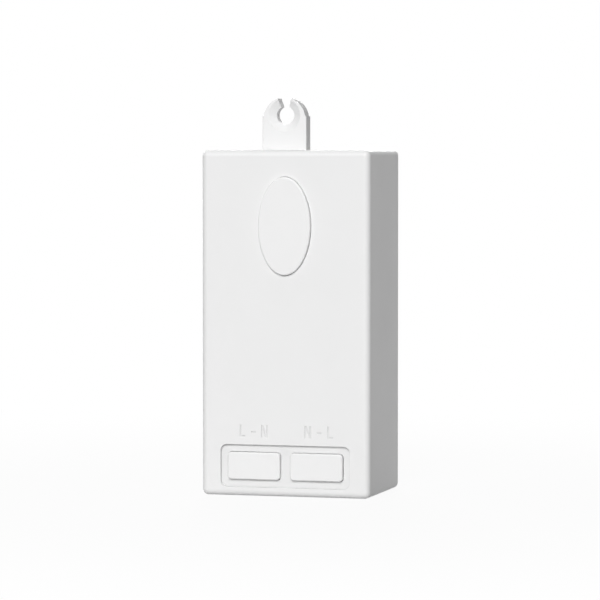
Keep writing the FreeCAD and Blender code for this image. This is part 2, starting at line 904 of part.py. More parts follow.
def ring(name, x, y, z, outer, inner, length):
    around = rod(name + "Outer", x, y, z, outer, length)
    bore = rod(name + "Inner", x, f"{y} - cut_margin", z, inner, f"{length} + 2 * cut_margin")
    return cut(name, around, bore)


def can(name, x, z, radius, height):
    """An upright capacitor can with a rolled shoulder under its end."""
    start = f"board_front - ({height})"
    tall = rod(name + "Can", x, start, z, radius, height)
    groove = ring(
        name + "Groove", x, "board_front - 3 * can_shoulder", z,
        f"{radius} + cut_margin", f"{radius} - can_shoulder", "can_shoulder",
    )
    return cut(name, tall, groove)


def flat_chip(name, x, z, width, height, y, thickness, pins):
    """A moulded chip with a row of gull-wing leads along its two long sides."""
    board_face = f"({y}) + ({thickness})"
    case = block(name + "Case", x, y, z, width, f"({thickness}) - chip_lead / 2", height)
    leads = []
    for index in range(pins):
        step = f"({height}) * {index + 0.5} / {pins}"
        for side in ("-", ""):
            spot = f"({x}) + {side}(({width}) / 2 + 2 * chip_lead)"
            low = f"({z}) + {step} - chip_lead"
            tag = f"{name}{'L' if side else 'R'}{index}"
            foot_front = f"{board_face} - chip_lead"
            leads.append(block(tag, spot, foot_front, low, "6 * chip_lead", "chip_lead", "2 * chip_lead"))
    return fuse(name, case, *leads)


# Relay: base, case, yoke, core, bobbin, winding, contacts and swinging armature
RELAY_X = "-relay_place"
RELAY_PINS = {
    "CoilLeft": (f"{RELAY_X} - yoke_width / 2 - relay_pin_gap", "yoke_bottom + yoke_thickness"),
    "CoilRight": (f"{RELAY_X} + yoke_width / 2 + relay_pin_gap", "yoke_bottom + yoke_thickness"),
    "ContactLeft": (f"{RELAY_X} - yoke_width / 3", "contact_middle"),
    "ContactRight": (f"{RELAY_X} + yoke_width / 3", "contact_middle"),
}


def make_relay():
    outer = block(
        "RelayOuter", RELAY_X, "relay_front", "relay_bottom",
        "relay_width", "relay_height - 3 * relay_fit", "relay_length",
    )
    inner = block(
        "RelayInner", RELAY_X, "relay_front + relay_wall", "relay_bottom + relay_wall",
        "relay_width - 2 * relay_wall", "relay_height", "relay_length - 2 * relay_wall",
    )
    node("relay_case", cut("RelayCase", outer, inner))

    pins = []
    ways = []
    for name, (x, z) in RELAY_PINS.items():
        pins.append(lead("Relay" + name, x, z, "relay_floor + relay_fit"))
        ways.append(rod(
            "RelayWay" + name, x, "relay_floor - cut_margin", z,
            "lead_radius + coil_fit", "relay_base + 2 * cut_margin",
        ))
    floor = block(
        "RelayFloor", RELAY_X, "relay_floor", "relay_bottom + relay_wall + relay_fit",
        "relay_inner_width", "relay_base", "relay_inner_length",
    )
    node("relay_base", cut("RelayBase", floor, *ways))
    node("relay_pins", group("RelayPins", *pins))

    inner_edge = "yoke_bottom + yoke_thickness"
    yoke_end = "armature_rear + armature_play"
    corners = [
        (yoke_end, "yoke_bottom"),
        ("relay_floor", "yoke_bottom"),
        ("relay_floor", "coil_middle + core_radius + bobbin_wall"),
        ("coil_rear", "coil_middle + core_radius + bobbin_wall"),
        ("coil_rear", inner_edge),
        (yoke_end, inner_edge),
    ]
    node("relay_yoke", profile("RelayYoke", RELAY_X, "yoke_width", corners))

    pole = "bobbin_flange"
    shaft = rod("CoreShaft", RELAY_X, "coil_front", "coil_middle", "core_radius", "coil_height")
    face = rod("CoreFace", RELAY_X, "coil_front", "coil_middle", "core_radius + 2 * bobbin_wall", pole)
    node("relay_core", fuse("RelayCore", shaft, face))

    tube_front = f"coil_front + {pole} + coil_fit"
    tube_length = f"coil_rear - coil_fit - ({tube_front})"
    flange = "winding_radius + bobbin_wall"
    tube = "core_radius + coil_fit + bobbin_wall"
    rear_flange = "coil_rear - coil_fit - bobbin_flange"
    spool = fuse(
        "Spool",
        rod("SpoolTube", RELAY_X, tube_front, "coil_middle", tube, tube_length),
        rod("SpoolFront", RELAY_X, tube_front, "coil_middle", flange, "bobbin_flange"),
        rod("SpoolRear", RELAY_X, rear_flange, "coil_middle", flange, "bobbin_flange"),
    )
    bore = rod(
        "SpoolBore", RELAY_X, "coil_front - cut_margin", "coil_middle",
        "core_radius + coil_fit", "coil_height + 2 * cut_margin",
    )
    node("relay_bobbin", cut("RelayBobbin", spool, bore))
    winding_front = f"{tube_front} + bobbin_flange + coil_fit"
    winding_length = f"coil_rear - 2 * coil_fit - bobbin_flange - ({winding_front})"
    node("relay_winding", ring(
        "RelayWinding", RELAY_X, winding_front, "coil_middle",
        "winding_radius", "core_radius + 2 * coil_fit + bobbin_wall", winding_length,
    ))

    armature_reach = "coil_middle + core_radius + 3 * bobbin_wall - yoke_bottom"
    node("relay_armature", block(
        "RelayArmature", RELAY_X, "armature_rear - armature_thickness", "yoke_bottom",
        "yoke_width", "armature_thickness", armature_reach,
    ))
    leaf_front = "armature_rear - armature_thickness - leaf_thickness"
    leaf = block(
        "LeafStrip", RELAY_X, leaf_front, "yoke_bottom + yoke_thickness",
        "leaf_width", "leaf_thickness", "leaf_end - yoke_bottom - yoke_thickness",
    )
    button = rod(
        "LeafButton", RELAY_X, f"{leaf_front} + leaf_thickness", "contact_middle",
        "contact_radius", "contact_thickness",
    )
    node("relay_contact_leaf", fuse("RelayLeaf", leaf, button))

    contact_front = f"{leaf_front} + leaf_thickness + contact_thickness + contact_gap"
    post_front = f"{contact_front} + contact_thickness"
    corners = [
        (post_front, "contact_middle - contact_radius"),
        (f"{post_front} + contact_thickness", "contact_middle - contact_radius"),
        (f"{post_front} + contact_thickness", "leaf_end - contact_thickness"),
        ("relay_floor", "leaf_end - contact_thickness"),
        ("relay_floor", "leaf_end"),
        (post_front, "leaf_end"),
    ]
    post = profile("ContactPost", RELAY_X, "leaf_width", corners)
    fixed = rod(
        "FixedButton", RELAY_X, contact_front, "contact_middle",
        "contact_radius", "contact_thickness + join_overlap",
    )
    node("relay_fixed_contact", fuse("RelayFixed", post, fixed))


make_relay()


# Mains transformer of the small supply
def make_transformer():
    x = "transformer_place"
    bottom = "transformer_bottom"
    middle = "board_front - transformer_stand - core_depth / 2"
    core_front = f"{middle} - core_depth / 2"
    side_limb = "core_limb / 2"
    window_width = f"core_width / 2 - {side_limb} - core_limb / 2"
    window_height = "core_length - 2 * core_end"
    window_bottom = f"{bottom} + core_end"
    outer = block("CoreOuter", x, core_front, bottom, "core_width", "core_depth", "core_length")
    windows = []
    for side in ("-", ""):
        spot = f"{x} + {side}(core_limb / 2 + ({window_width}) / 2)"
        name = "Left" if side else "Right"
        windows.append(block(
            f"Core{name}Window", spot, f"{core_front} - cut_margin", window_bottom,
            window_width, "core_depth + 2 * cut_margin", window_height,
        ))
    node("transformer_core", cut("TransformerCore", outer, *windows))

    # The former stands on the board and carries the winding between two cheeks
    hole_width = "core_limb + 2 * coil_fit"
    hole_depth = "core_depth + 2 * coil_fit"
    tube_width = f"{hole_width} + 2 * bobbin_wall"
    tube_depth = f"{hole_depth} + 2 * bobbin_wall"
    cheek_width = f"core_limb + 2 * ({window_width}) - 4 * coil_fit"
    cheek_front = f"{middle} - transformer_winding_radius - 2 * coil_fit"
    low = f"{window_bottom} + coil_fit"
    span = f"{window_height} - 2 * coil_fit"
    high = f"{low} + {span} - former_cheek"
    cheek_size = (cheek_width, f"board_front - ({cheek_front})", "former_cheek")
    former = fuse(
        "FormerSolid",
        block("FormerTube", x, f"{middle} - ({tube_depth}) / 2", low, tube_width, tube_depth, span),
        block("FormerLow", x, cheek_front, low, *cheek_size),
        block("FormerHigh", x, cheek_front, high, *cheek_size),
    )
    pins = []
    ways = [block(
        "FormerBore", x, f"{middle} - ({hole_depth}) / 2", f"{bottom} - cut_margin",
        hole_width, hole_depth, "core_length + 2 * cut_margin",
    )]
    for level, height in (("Low", f"{low} + former_cheek / 2"), ("High", f"{high} + former_cheek / 2")):
        for side in ("-", ""):
            name = level + ("Left" if side else "Right")
            spot = f"{x} + {side}(({cheek_width}) / 2 - 3 * lead_radius)"
            pins.append(lead("Former" + name, spot, height, "board_front - transformer_stand / 3"))
            ways.append(rod(
                "FormerWay" + name, spot, "board_front - transformer_stand / 3 - coil_fit", height,
                "lead_radius + coil_fit", "transformer_stand",
            ))
    node("transformer_bobbin", cut("TransformerFormer", former, *ways))
    node("transformer_pins", group("TransformerPins", *pins))

    wound_low = f"{low} + former_cheek + coil_fit"
    wound_span = f"{span} - 2 * former_cheek - 2 * coil_fit"
    wound = block(
        "WoundOuter", x, f"{middle} - transformer_winding_radius", wound_low,
        f"{cheek_width} - 4 * coil_fit", "2 * transformer_winding_radius", wound_span,
    )
    hollow = block(
        "WoundInner", x, f"{middle} - ({tube_depth}) / 2 - coil_fit", f"{wound_low} - cut_margin",
        f"{tube_width} + 2 * coil_fit", f"{tube_depth} + 2 * coil_fit", f"{wound_span} + 2 * cut_margin",
    )
    node("transformer_winding", cut("TransformerWinding", wound, hollow))


make_transformer()


# Small power parts on the main board
def make_fuse():
    x = "fuse_place"
    y = "board_front - fuse_radius - lead_radius"
    z = "fuse_height"
    barrel = rod("FuseBody", f"{x} - fuse_length / 2", y, z, "fuse_radius", "fuse_length", "X")
    node("fusible_resistor", barrel)
    leads = []
    for side in ("-", ""):
        name = "FuseLeft" if side else "FuseRight"
        knee = f"{x} + {side}(fuse_length / 2 + fuse_lead_reach)"
        start = knee if side else f"{x} + fuse_length / 2"
        level = rod(name + "Level", start, y, z, "lead_radius", "fuse_lead_reach", "X")
        ball = document.addObject("Part::Sphere", name + "Knee")
        bind(ball, Radius="lead_radius")
        put(ball, knee, y, z)
        leads.append(fuse(name, level, ball, lead(name + "Down", knee, z, y)))
    node("fusible_resistor_leads", group("FuseLeads", *leads))


make_fuse()

node("varistor", fuse(
    "Varistor",
    rod(
        "VaristorDisc", "varistor_place", "board_front - varistor_radius - 2 * lead_radius",
        "varistor_height", "varistor_radius", "varistor_thickness", "Z",
    ),
    lead(
        "VaristorLeft", "varistor_place - varistor_radius / 1.5",
        "varistor_height + varistor_thickness / 3", "board_front - varistor_radius",
    ),
    lead(
        "VaristorRight", "varistor_place + varistor_radius / 1.5",
        "varistor_height + 2 * varistor_thickness / 3", "board_front - varistor_radius",
    ),
))

node("film_capacitor", fuse(
    "FilmCapacitor",
    block(
        "FilmCase", "-film_place", "board_front - film_height", "film_bottom",
        "film_width", "film_height", "film_thickness",
    ),
    lead("FilmLeft", "-film_place - film_width / 2.5", "lower_boss_height", "board_front - lead_root"),
    lead("FilmRight", "-film_place + film_width / 2.5", "lower_boss_height", "board_front - lead_root"),
))

CANS = {
    "reservoir_capacitor": ("-reservoir_place", "reservoir_radius", "reservoir_height"),
    "output_capacitor": ("output_can_place", "output_can_radius", "output_can_height"),
}
for label, (x, radius, height) in CANS.items():
    name = label.title().replace("_", "")
    z = "control_bottom + control_height / 2"
    legs = []
    for tag, side in (("LegLeft", "-"), ("LegRight", "+")):
        legs.append(lead(name + tag, f"{x} {side} can_leg_pitch / 2", z, "board_front - lead_root"))
    node(label, fuse(name + "Whole", can(name, x, z, radius, height), *legs))


def place_chips(face, chips):
    for label, (size, x, z) in chips.items():
        thickness = size + "_thickness"
        node(label, flat_chip(
            label.title().replace("_", ""), x, z, size + "_width", size + "_length",
            f"{face} - {thickness}", thickness, LEAD_COUNTS[size],
        ))


place_chips("board_front", {
    "bridge_rectifier": ("bridge", "-bridge_place", "chip_level"),
    "supply_chip": ("supply", "supply_place", "chip_level"),
    "relay_driver": ("driver", "-driver_place", "edge_chip_level"),
    "flyback_diode": ("diode", "diode_place", "edge_chip_level"),
})


# Control board with the switch under the oval key, radio parts, header and spacers
place_chips("control_front", {
    "microcontroller": ("controller", "-control_chip_place", "control_bottom + control_chip_rise"),
    "radio_chip": ("radio", "control_chip_place", "control_bottom + control_chip_rise"),
    "crystal": ("crystal", "control_chip_place", "control_bottom + 4 * control_chip_rise"),
    "status_led": ("led", "0", "oval_height - tact_size / 2 - led_drop / 2"),
})
PIN_STEPS = (-2, -1, 0, 1, 2)
SPACERS = {"Left": "-spacer_place", "Right": "spacer_place"}


def square_pins(name, y, depth, width):
    """One square bar per pin of the row that links the boards."""
    low = f"header_level - ({width}) / 2"
    return [
        block(f"{name}{index}", f"{step} * pin_pitch", y, low, width, depth, width)
        for index, step in enumerate(PIN_STEPS, start=1)
    ]


def pin_ways(name, y, depth):
    """Square ways for that row through a piece that starts at y."""
    return square_pins(name, f"{y} - cut_margin", f"{depth} + 2 * cut_margin", "pin_width + 2 * coil_fit")


def make_header():
    length = "board_front - control_rear"
    strip = block(
        "HeaderStrip", "0", "control_rear", "header_level - strip_body / 2",
        f"{len(PIN_STEPS)} * pin_pitch", length, "strip_body",
    )
    node("link_header", cut("LinkHeader", strip, *pin_ways("HeaderWay", "control_rear", length)))
    start = "control_front - solder_length"
    pins = square_pins("LinkPin", start, f"pin_end - ({start})", "pin_width")
    node("link_pins", group("LinkPins", *pins))


def make_spacers():
    posts = []
    for name, place in SPACERS.items():
        length = "board_front - control_rear"
        body = rod(name + "Post", place, "control_rear", "spacer_level", "spacer_radius", length)
        start = "control_front - solder_length / 2"
        reach = f"board_rear + solder_length / 2 - ({start})"
        pin = rod(name + "PostPin", place, start, "spacer_level", "spacer_pin_radius", reach)
        posts.append(fuse(name + "Spacer", body, pin))
    node("board_spacers", group("BoardSpacers", *posts))


def round_way(name, x, z, radius, y, depth):
    """A round hole through a board of this depth that starts at y."""
    return rod(name, x, f"{y} - cut_margin", z, radius, f"{depth} + 2 * cut_margin")


make_header()
make_spacers()


def make_antenna():
    x = "antenna_place"
    y = "control_front - 2 * antenna_radius"
    foot = "antenna_foot"
    top = "body_height - end_wall - 3 * antenna_radius"
    pieces = [
        rod("AntennaLeg", x, y, foot, "antenna_radius", "control_thickness + 4 * antenna_radius"),
        rod("AntennaRise", x, y, foot, "antenna_radius", f"{top} - ({foot})", "Z"),
        rod("AntennaRun", f"-({x})", y, top, "antenna_radius", f"2 * ({x})", "X"),
    ]
    for name, height in (("AntennaFoot", foot), ("AntennaBend", top)):
        ball = document.addObject("Part::Sphere", name)
        bind(ball, Radius="antenna_radius")
        put(ball, x, y, height)
        pieces.append(ball)
    node("antenna_wire", fuse("Antenna", *pieces))


make_antenna()


def make_tact_switch():
    well = rod(
        "TactWell", "0", "tact_front - cut_margin", "oval_height", "tact_plunger_radius + tact_well_gap",
        "tact_plunger_proud + oval_travel + dome_room + cut_margin",
    )
    base_front = "tact_front + tact_plate"
    base = block(
        "TactSolid", "0", base_front, "oval_height - tact_size / 2",
        "tact_size", "tact_height - tact_plate", "tact_size",
    )
    node("tact_base", cut("TactBase", base, well))
    sheet = block(
        "TactSheet", "0", "tact_front", "oval_height - tact_size / 2",
        "tact_size", "tact_plate", "tact_size",
    )
    hole = round_way(
        "TactHole", "0", "oval_height", "tact_plunger_radius + tact_clearance",
        "tact_front", "tact_plate",
    )
    node("tact_cover", cut("TactCover", sheet, hole))
    reach = "tact_plunger_proud + 3 * tact_plate"
    push = rod("TactPush", "0", "plunger_front", "oval_height", "tact_plunger_radius", reach)
    collar = rod(
        "TactCollar", "0", f"{base_front} + tact_play", "oval_height",
        "tact_plunger_radius + tact_collar", "2 * tact_plate - tact_play",
    )
    node("tact_plunger", fuse("TactPlunger", push, collar))
    top = f"plunger_front + {reach} + tact_play"
    dome_size = ("tact_plunger_radius / 2", "tact_plunger_radius + dome_lip", "dome_height")
    bulge = cone("DomeOuter", "0", top, "oval_height", *dome_size)
    under = cone("DomeInner", "0", f"{top} + dome_thickness", "oval_height", *dome_size)
    node("contact_dome", cut("ContactDome", bulge, under))


make_tact_switch()


def make_control_board():
    solid = block(
        "ControlSolid", "0", "control_front", "control_bottom",
        "control_width", "control_thickness", "control_height",
    )
    span = ("control_front", "control_thickness")
    ways = pin_ways("ControlWay", *span)
    for name, place in SPACERS.items():
        hole = name + "ControlHole"
        ways.append(round_way(hole, place, "spacer_level", "spacer_pin_radius + coil_fit", *span))
    wire_hole = "antenna_radius + coil_fit"
    ways.append(round_way("AntennaHole", "antenna_place", "antenna_foot", wire_hole, *span))
    return cut("ControlBoard", solid, *ways)


node("control_board", make_control_board())


# Main board, cut for every lead, pin, screw and spacer that passes through it
def make_main_board():
    solid = block(
        "BoardSolid", "0", "board_front", "board_bottom",
        "board_width", "board_thickness", "board_height",
    )
    span = ("board_front", "board_thickness")
    ways = pin_ways("BoardWay", *span)
    for name, x, z in LEADS:
        ways.append(round_way("Way" + name, x, z, "lead_radius + coil_fit", *span))
    for pair, pole, spot in each_pole():
        slot_front = "board_front - cut_margin"
        ways.append(pin_slot(f"{pair}{pole}BoardSlot", spot, slot_front, "board_thickness + 2 * cut_margin"))
    for name, place in SPACERS.items():
        hole = name + "BoardHole"
        ways.append(round_way(hole, place, "spacer_level", "spacer_pin_radius + coil_fit", *span))
    for name, (side, height) in BOSSES.items():
        passing = "screw_radius + screw_pass_clearance"
        ways.append(round_way(name + "ScrewHole", side + "boss_place", height, passing, *span))
    return cut("MainBoard", solid, *ways)


node("main_board", make_main_board())


# Every object has to be sound before any file is written
document.recompute()
for item in document.Objects:
    if {"Invalid", "Error"} & set(item.State):
        raise RuntimeError(f"{item.Name} failed: {item.State}")
for label, item in NODES.items():
    if item.Shape.isNull() or not item.Shape.isValid() or not item.Shape.Solids:
        raise RuntimeError(label + " has no sound solid")

os.makedirs("parts", exist_ok=True)
for label, item in NODES.items():
    item.Shape.exportStep(f"parts/{label}.step")
    box = item.Shape.BoundBox
    print(f"{label:26s} solids {len(item.Shape.Solids):2d}  volume {item.Shape.Volume:9.2f}", end="  ")
    print(f"x {box.XMin:.2f} {box.XMax:.2f}  y {box.YMin:.2f} {box.YMax:.2f}", end="  ")
    print(f"z {box.ZMin:.2f} {box.ZMax:.2f}")
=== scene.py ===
"""Looks of a wall-hung receiver module: finishes, fine trim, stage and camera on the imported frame."""

import json
import math

import bmesh
import bpy
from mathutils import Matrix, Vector


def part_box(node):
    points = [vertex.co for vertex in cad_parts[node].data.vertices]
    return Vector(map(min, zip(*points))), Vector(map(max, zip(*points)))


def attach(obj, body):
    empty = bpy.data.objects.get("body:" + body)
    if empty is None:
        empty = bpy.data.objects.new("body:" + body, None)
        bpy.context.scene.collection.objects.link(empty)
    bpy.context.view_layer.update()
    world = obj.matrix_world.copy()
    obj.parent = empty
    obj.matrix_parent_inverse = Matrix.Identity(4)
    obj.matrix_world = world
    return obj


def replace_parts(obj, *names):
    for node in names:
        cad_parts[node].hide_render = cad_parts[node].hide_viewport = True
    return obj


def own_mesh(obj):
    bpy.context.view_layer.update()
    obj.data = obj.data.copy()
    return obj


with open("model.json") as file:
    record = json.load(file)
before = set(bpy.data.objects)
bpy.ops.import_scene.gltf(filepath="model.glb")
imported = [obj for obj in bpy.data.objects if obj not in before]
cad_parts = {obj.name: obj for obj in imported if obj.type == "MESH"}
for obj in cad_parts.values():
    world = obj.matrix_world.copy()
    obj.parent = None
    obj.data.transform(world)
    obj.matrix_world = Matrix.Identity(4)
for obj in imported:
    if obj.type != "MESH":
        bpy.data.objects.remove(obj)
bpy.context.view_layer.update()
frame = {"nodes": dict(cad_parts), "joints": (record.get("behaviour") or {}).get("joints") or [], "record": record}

bl_info = {
    "name": "Receiver module looks",
    "version": (1, 0, 0),
    "blender": (4, 5, 0),
    "location": "3D View > Sidebar > Receiver",
    "description": "Finishes, fine trim and stage for a wall-hung receiver module",
    "category": "Object",
}

MM = 0.001
TURN = 2 * math.pi

# How finely round shapes are stepped, and the angle from which an edge stays sharp
COIL_STEPS = 36
THREAD_STEPS = 24
ROUND_STEPS = 20
CORNER_STEPS = 5
WIRE_SIDES = 6
FLOOR_SIDES = 96
SHARP_ANGLE = math.radians(35)

# The pocket in the front, as the housing's solid has it
POCKET_MIDDLE = 7.0 * MM
POCKET_HALF_WIDTH = 15.5 * MM
POCKET_HALF_HEIGHT = 4.95 * MM
POCKET_CORNER = 1.5 * MM
POCKET_DEPTHS = (0.05 * MM, 1.0 * MM)
POCKET_MARGIN = 0.1 * MM

# The engraved marks above it: how deep, how high and how far to each side they go
MARK_DEPTHS = (0.12 * MM, 0.4 * MM)
MARK_MIDDLE = 15.1 * MM
MARK_HALF_HEIGHT = 1.6 * MM
MARK_REACH = 14 * MM

# Points this near each other belong to one lead, strip or screw
LEAD_APART = 1.2 * MM
STRIP_APART = 3.2 * MM
SCREW_APART = 6.0 * MM

# Points this near a face belong to it, and points this near each other are one
FACE_NEAR = 0.02 * MM
WELD_NEAR = 0.001 * MM

# How far print stands up from its face
PRINT_HEIGHT = 0.03 * MM

CHIPS = (
    "bridge_rectifier", "supply_chip", "relay_driver", "flyback_diode", "microcontroller", "radio_chip",
)

# How rough each finish is
ROUGHNESS = {
    "shell_plastic": 0.42, "cover_plastic_painted_shade": 0.65, "key_plastic": 0.38,
    "screw_zinc": 0.34, "board_laminate": 0.38, "legend_print": 0.6, "solder": 0.22,
    "terminal_plastic": 0.5, "tinned_brass": 0.3, "spring_steel": 0.26,
    "relay_case_plastic": 0.3, "relay_black": 0.45, "magnetic_iron": 0.36,
    "relay_contacts": 0.24, "relay_copper": 0.28, "relay_ink": 0.6,
    "ferrite": 0.62, "former_plastic": 0.5, "transformer_tin": 0.28,
    "transformer_copper": 0.28, "winding_tape": 0.25,
    "resistor_ceramic": 0.5, "lead_tin": 0.28, "varistor_coat": 0.22,
    "film_case": 0.35, "capacitor_sleeve": 0.3, "can_aluminium": 0.32,
    "crystal_can": 0.25, "led_base": 0.3, "led_lens": 0.22, "header_plastic": 0.5, "pin_tin": 0.25,
    "nylon": 0.48, "antenna_copper": 0.28, "switch_steel": 0.3, "plunger_plastic": 0.4,
    "chip_print": 0.5, "floor_paper": 0.85,
    **{name + "_resin": 0.55 for name in CHIPS},
}


# Shader maths
class Signal:
    """A value in a finish's nodes; arithmetic on it adds Math nodes."""

    def __init__(self, finish, socket):
        self.finish = finish
        self.socket = socket

    def combine(self, operation, first, second):
        return self.finish.add("ShaderNodeMath", {"operation": operation}, {0: first, 1: second})

    def __add__(self, other):
        return self.combine("ADD", self, other)

    def __radd__(self, other):
        return self.combine("ADD", other, self)

    def __sub__(self, other):
        return self.combine("SUBTRACT", self, other)

    def __rsub__(self, other):
        return self.combine("SUBTRACT", other, self)

    def __mul__(self, other):
        return self.combine("MULTIPLY", self, other)

    def __rmul__(self, other):
        return self.combine("MULTIPLY", other, self)

    def __lt__(self, other):
        return self.combine("LESS_THAN", self, other)

    def __gt__(self, other):
        return self.combine("GREATER_THAN", self, other)

    def __abs__(self):
        return self.finish.add("ShaderNodeMath", {"operation": "ABSOLUTE"}, {0: self})

    def output(self, name):
        """Another output of the node that this one comes from."""
        return Signal(self.finish, self.socket.node.outputs[name])


class Nodes:
    """The node tree of one material or world."""

    def __init__(self, owner):
        owner.use_nodes = True
        self.nodes = owner.node_tree.nodes
        self.links = owner.node_tree.links

    def put(self, node, values):
        """Sets a node's sockets to plain values, or links signals to them."""
        for key, value in values.items():
            if isinstance(value, Signal):
                self.links.new(value.socket, node.inputs[key])
            else:
                node.inputs[key].default_value = value

    def add(self, kind, settings, values, output=0):
        """Adds a node: its settings first, then its sockets; gives one of its outputs."""
        node = self.nodes.new(kind)
        for name, value in settings.items():
            setattr(node, name, value)
        self.put(node, values)
        return Signal(self, node.outputs[output])


class Finish(Nodes):
    """One surface finish: a Principled shader and the nodes that vary it."""

    def __init__(self, name, colour, **fixed):
        self.material = bpy.data.materials.new(name)
        super().__init__(self.material)
        self.shader = self.nodes["Principled BSDF"]
        self.base = (*colour, 1.0)
        self.roughness = ROUGHNESS[name]
        self.put(self.shader, {"Base Color": self.base, "Roughness": self.roughness, **fixed})
        self.place = self.add("ShaderNodeTexCoord", {}, {}, output="Object")

    def stretched(self, scale):
        """The object's coordinates, stretched by a factor along each axis."""
        return self.add("ShaderNodeMapping", {}, {"Vector": self.place, "Scale": scale})

    def axis(self, name):
        """One coordinate of the object in metres."""
        return self.add("ShaderNodeSeparateXYZ", {}, {"Vector": self.place}, output=name)

    def facing(self, name):
        """One part of the surface's own direction."""
        normal = self.add("ShaderNodeTexCoord", {}, {}, output="Normal")
        return self.add("ShaderNodeSeparateXYZ", {}, {"Vector": normal}, output=name)

    def noise(self, size, detail=2.0, along=None):
        """Cloudy noise from 0 to 1, with features of about one size in metres."""
        return self.add(
            "ShaderNodeTexNoise", {},
            {"Vector": along or self.place, "Scale": 1 / size, "Detail": detail, "Roughness": 0.55},
        )

    def lines(self, name, pitch, width):
        """1 on evenly spaced lines across one coordinate."""
        near = self.add("ShaderNodeMath", {"operation": "PINGPONG"}, {0: self.axis(name), 1: pitch / 2})
        return near < width / 2

    def step(self, value, low, high):
        """0 below one level of a signal and 1 above another, smooth between."""
        return self.add(
            "ShaderNodeMapRange", {"interpolation_type": "SMOOTHSTEP"},
            {"Value": value, "From Min": low, "From Max": high},
        )

    def tint(self, mask, colour, share=1.0):
        """Lays a share of another colour over the base colour where the mask is 1."""
        self.base = self.add(
            "ShaderNodeMix", {"data_type": "RGBA"},
            {0: mask * share, 6: self.base, 7: (*colour, 1.0)}, output=2,
        )
        self.put(self.shader, {"Base Color": self.base})

    def sheen_spread(self, mask, amount):
        """Makes the surface rougher where the mask is high and smoother where it is low."""
        self.put(self.shader, {"Roughness": mask * amount + (self.roughness - amount / 2)})

    def relief(self, height, depth):
        """Raises the surface by a depth in metres where the height is 1."""
        bump = self.add("ShaderNodeBump", {}, {"Height": height, "Distance": depth, "Strength": 1.0})
        self.put(self.shader, {"Normal": bump})


def shade(colour, factor):
    return tuple(min(1.0, part * factor) for part in colour)


# Finishes
def moulded(name, colour, trim, coarse=1.0, deep=1.0):
    """Injection-moulded plastic: fine eroded grain, faint flow mottling and uneven sheen."""
    finish = Finish(name, colour)
    grain = coarse * trim.grain
    flow = finish.noise(60 * grain, detail=3.0)
    finish.tint(finish.step(flow, low=0.35, high=0.75), shade(colour, 0.975), share=0.5)
    finish.sheen_spread(flow, amount=0.08)
    finish.relief(finish.noise(grain), deep * trim.grain_depth)
    return finish


def sunk(finish, depths):
    """1 on surfaces that lie between two depths behind the housing's front."""
    depth = finish.axis("Y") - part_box("front_housing")[0].y
    return (depth > depths[0]) * (depth < depths[1])


def engraved(finish, floor_colour):
    """Darkens the floor of the terminal marks, cut a little way into the front above the pocket."""
    band = abs(finish.axis("Z") - MARK_MIDDLE) < MARK_HALF_HEIGHT
    middle = abs(finish.axis("X")) < MARK_REACH
    finish.tint(sunk(finish, MARK_DEPTHS) * band * middle, floor_colour)


def paint_pocket_shade(finish, floor_colour, corner_shadow_colour, corner_shadow_width):
    """Paints shade on the pocket's floor, and a darker painted shadow in the corner where the floor meets the
    walls.
    """
    over = finish.add("ShaderNodeCombineXYZ", {}, {
        "X": abs(finish.axis("X")) - (POCKET_HALF_WIDTH - POCKET_CORNER),
        "Z": abs(finish.axis("Z") - POCKET_MIDDLE) - (POCKET_HALF_HEIGHT - POCKET_CORNER),
    })
    outside = finish.add("ShaderNodeVectorMath", {"operation": "MAXIMUM"}, {0: over, 1: (0, 0, 0)})
    reach = finish.add("ShaderNodeVectorMath", {"operation": "LENGTH"}, {0: outside}, output="Value")
    floor = sunk(finish, POCKET_DEPTHS) * (reach < POCKET_CORNER + POCKET_MARGIN)
    # Painted shade on the floor, then a darker painted shadow towards the walls
    finish.tint(floor, floor_colour)
    finish.tint(floor * finish.step(reach, POCKET_CORNER - corner_shadow_width, POCKET_CORNER), corner_shadow_colour)


def paint_recess_shadow(finish, heads, shallow, share, colour):
    """Paints shadow into the drive recess in the middle share of each screw head that looks to the rear."""
    flat = finish.stretched((1, 0, 1))
    for middle, half in heads:
        away = finish.add(
            "ShaderNodeVectorMath", {"operation": "DISTANCE"},
            {0: flat, 1: (middle.x, 0, middle.z)}, output="Value",
        )
        in_recess_shadow = (middle.y - shallow) > finish.axis("Y")
        finish.tint(in_recess_shadow * (away < share * half.x), colour)


def plated(name, colour, lay=(1, 1, 1)):
    """Plated or rolled metal: fine lines along the lay and a slightly uneven coat."""
    finish = Finish(name, colour, Metallic=1.0)
    cloud = finish.noise(2.5 * MM, detail=3.0)
    lines = finish.noise(0.25 * MM, detail=3.0, along=finish.stretched(lay))
    finish.tint(finish.step(cloud, low=0.4, high=0.7), shade(colour, 0.92), share=0.5)
    finish.sheen_spread(0.5 * lines + 0.5 * cloud, amount=0.18)
    finish.relief(lines, depth=0.006 * MM)
    return finish


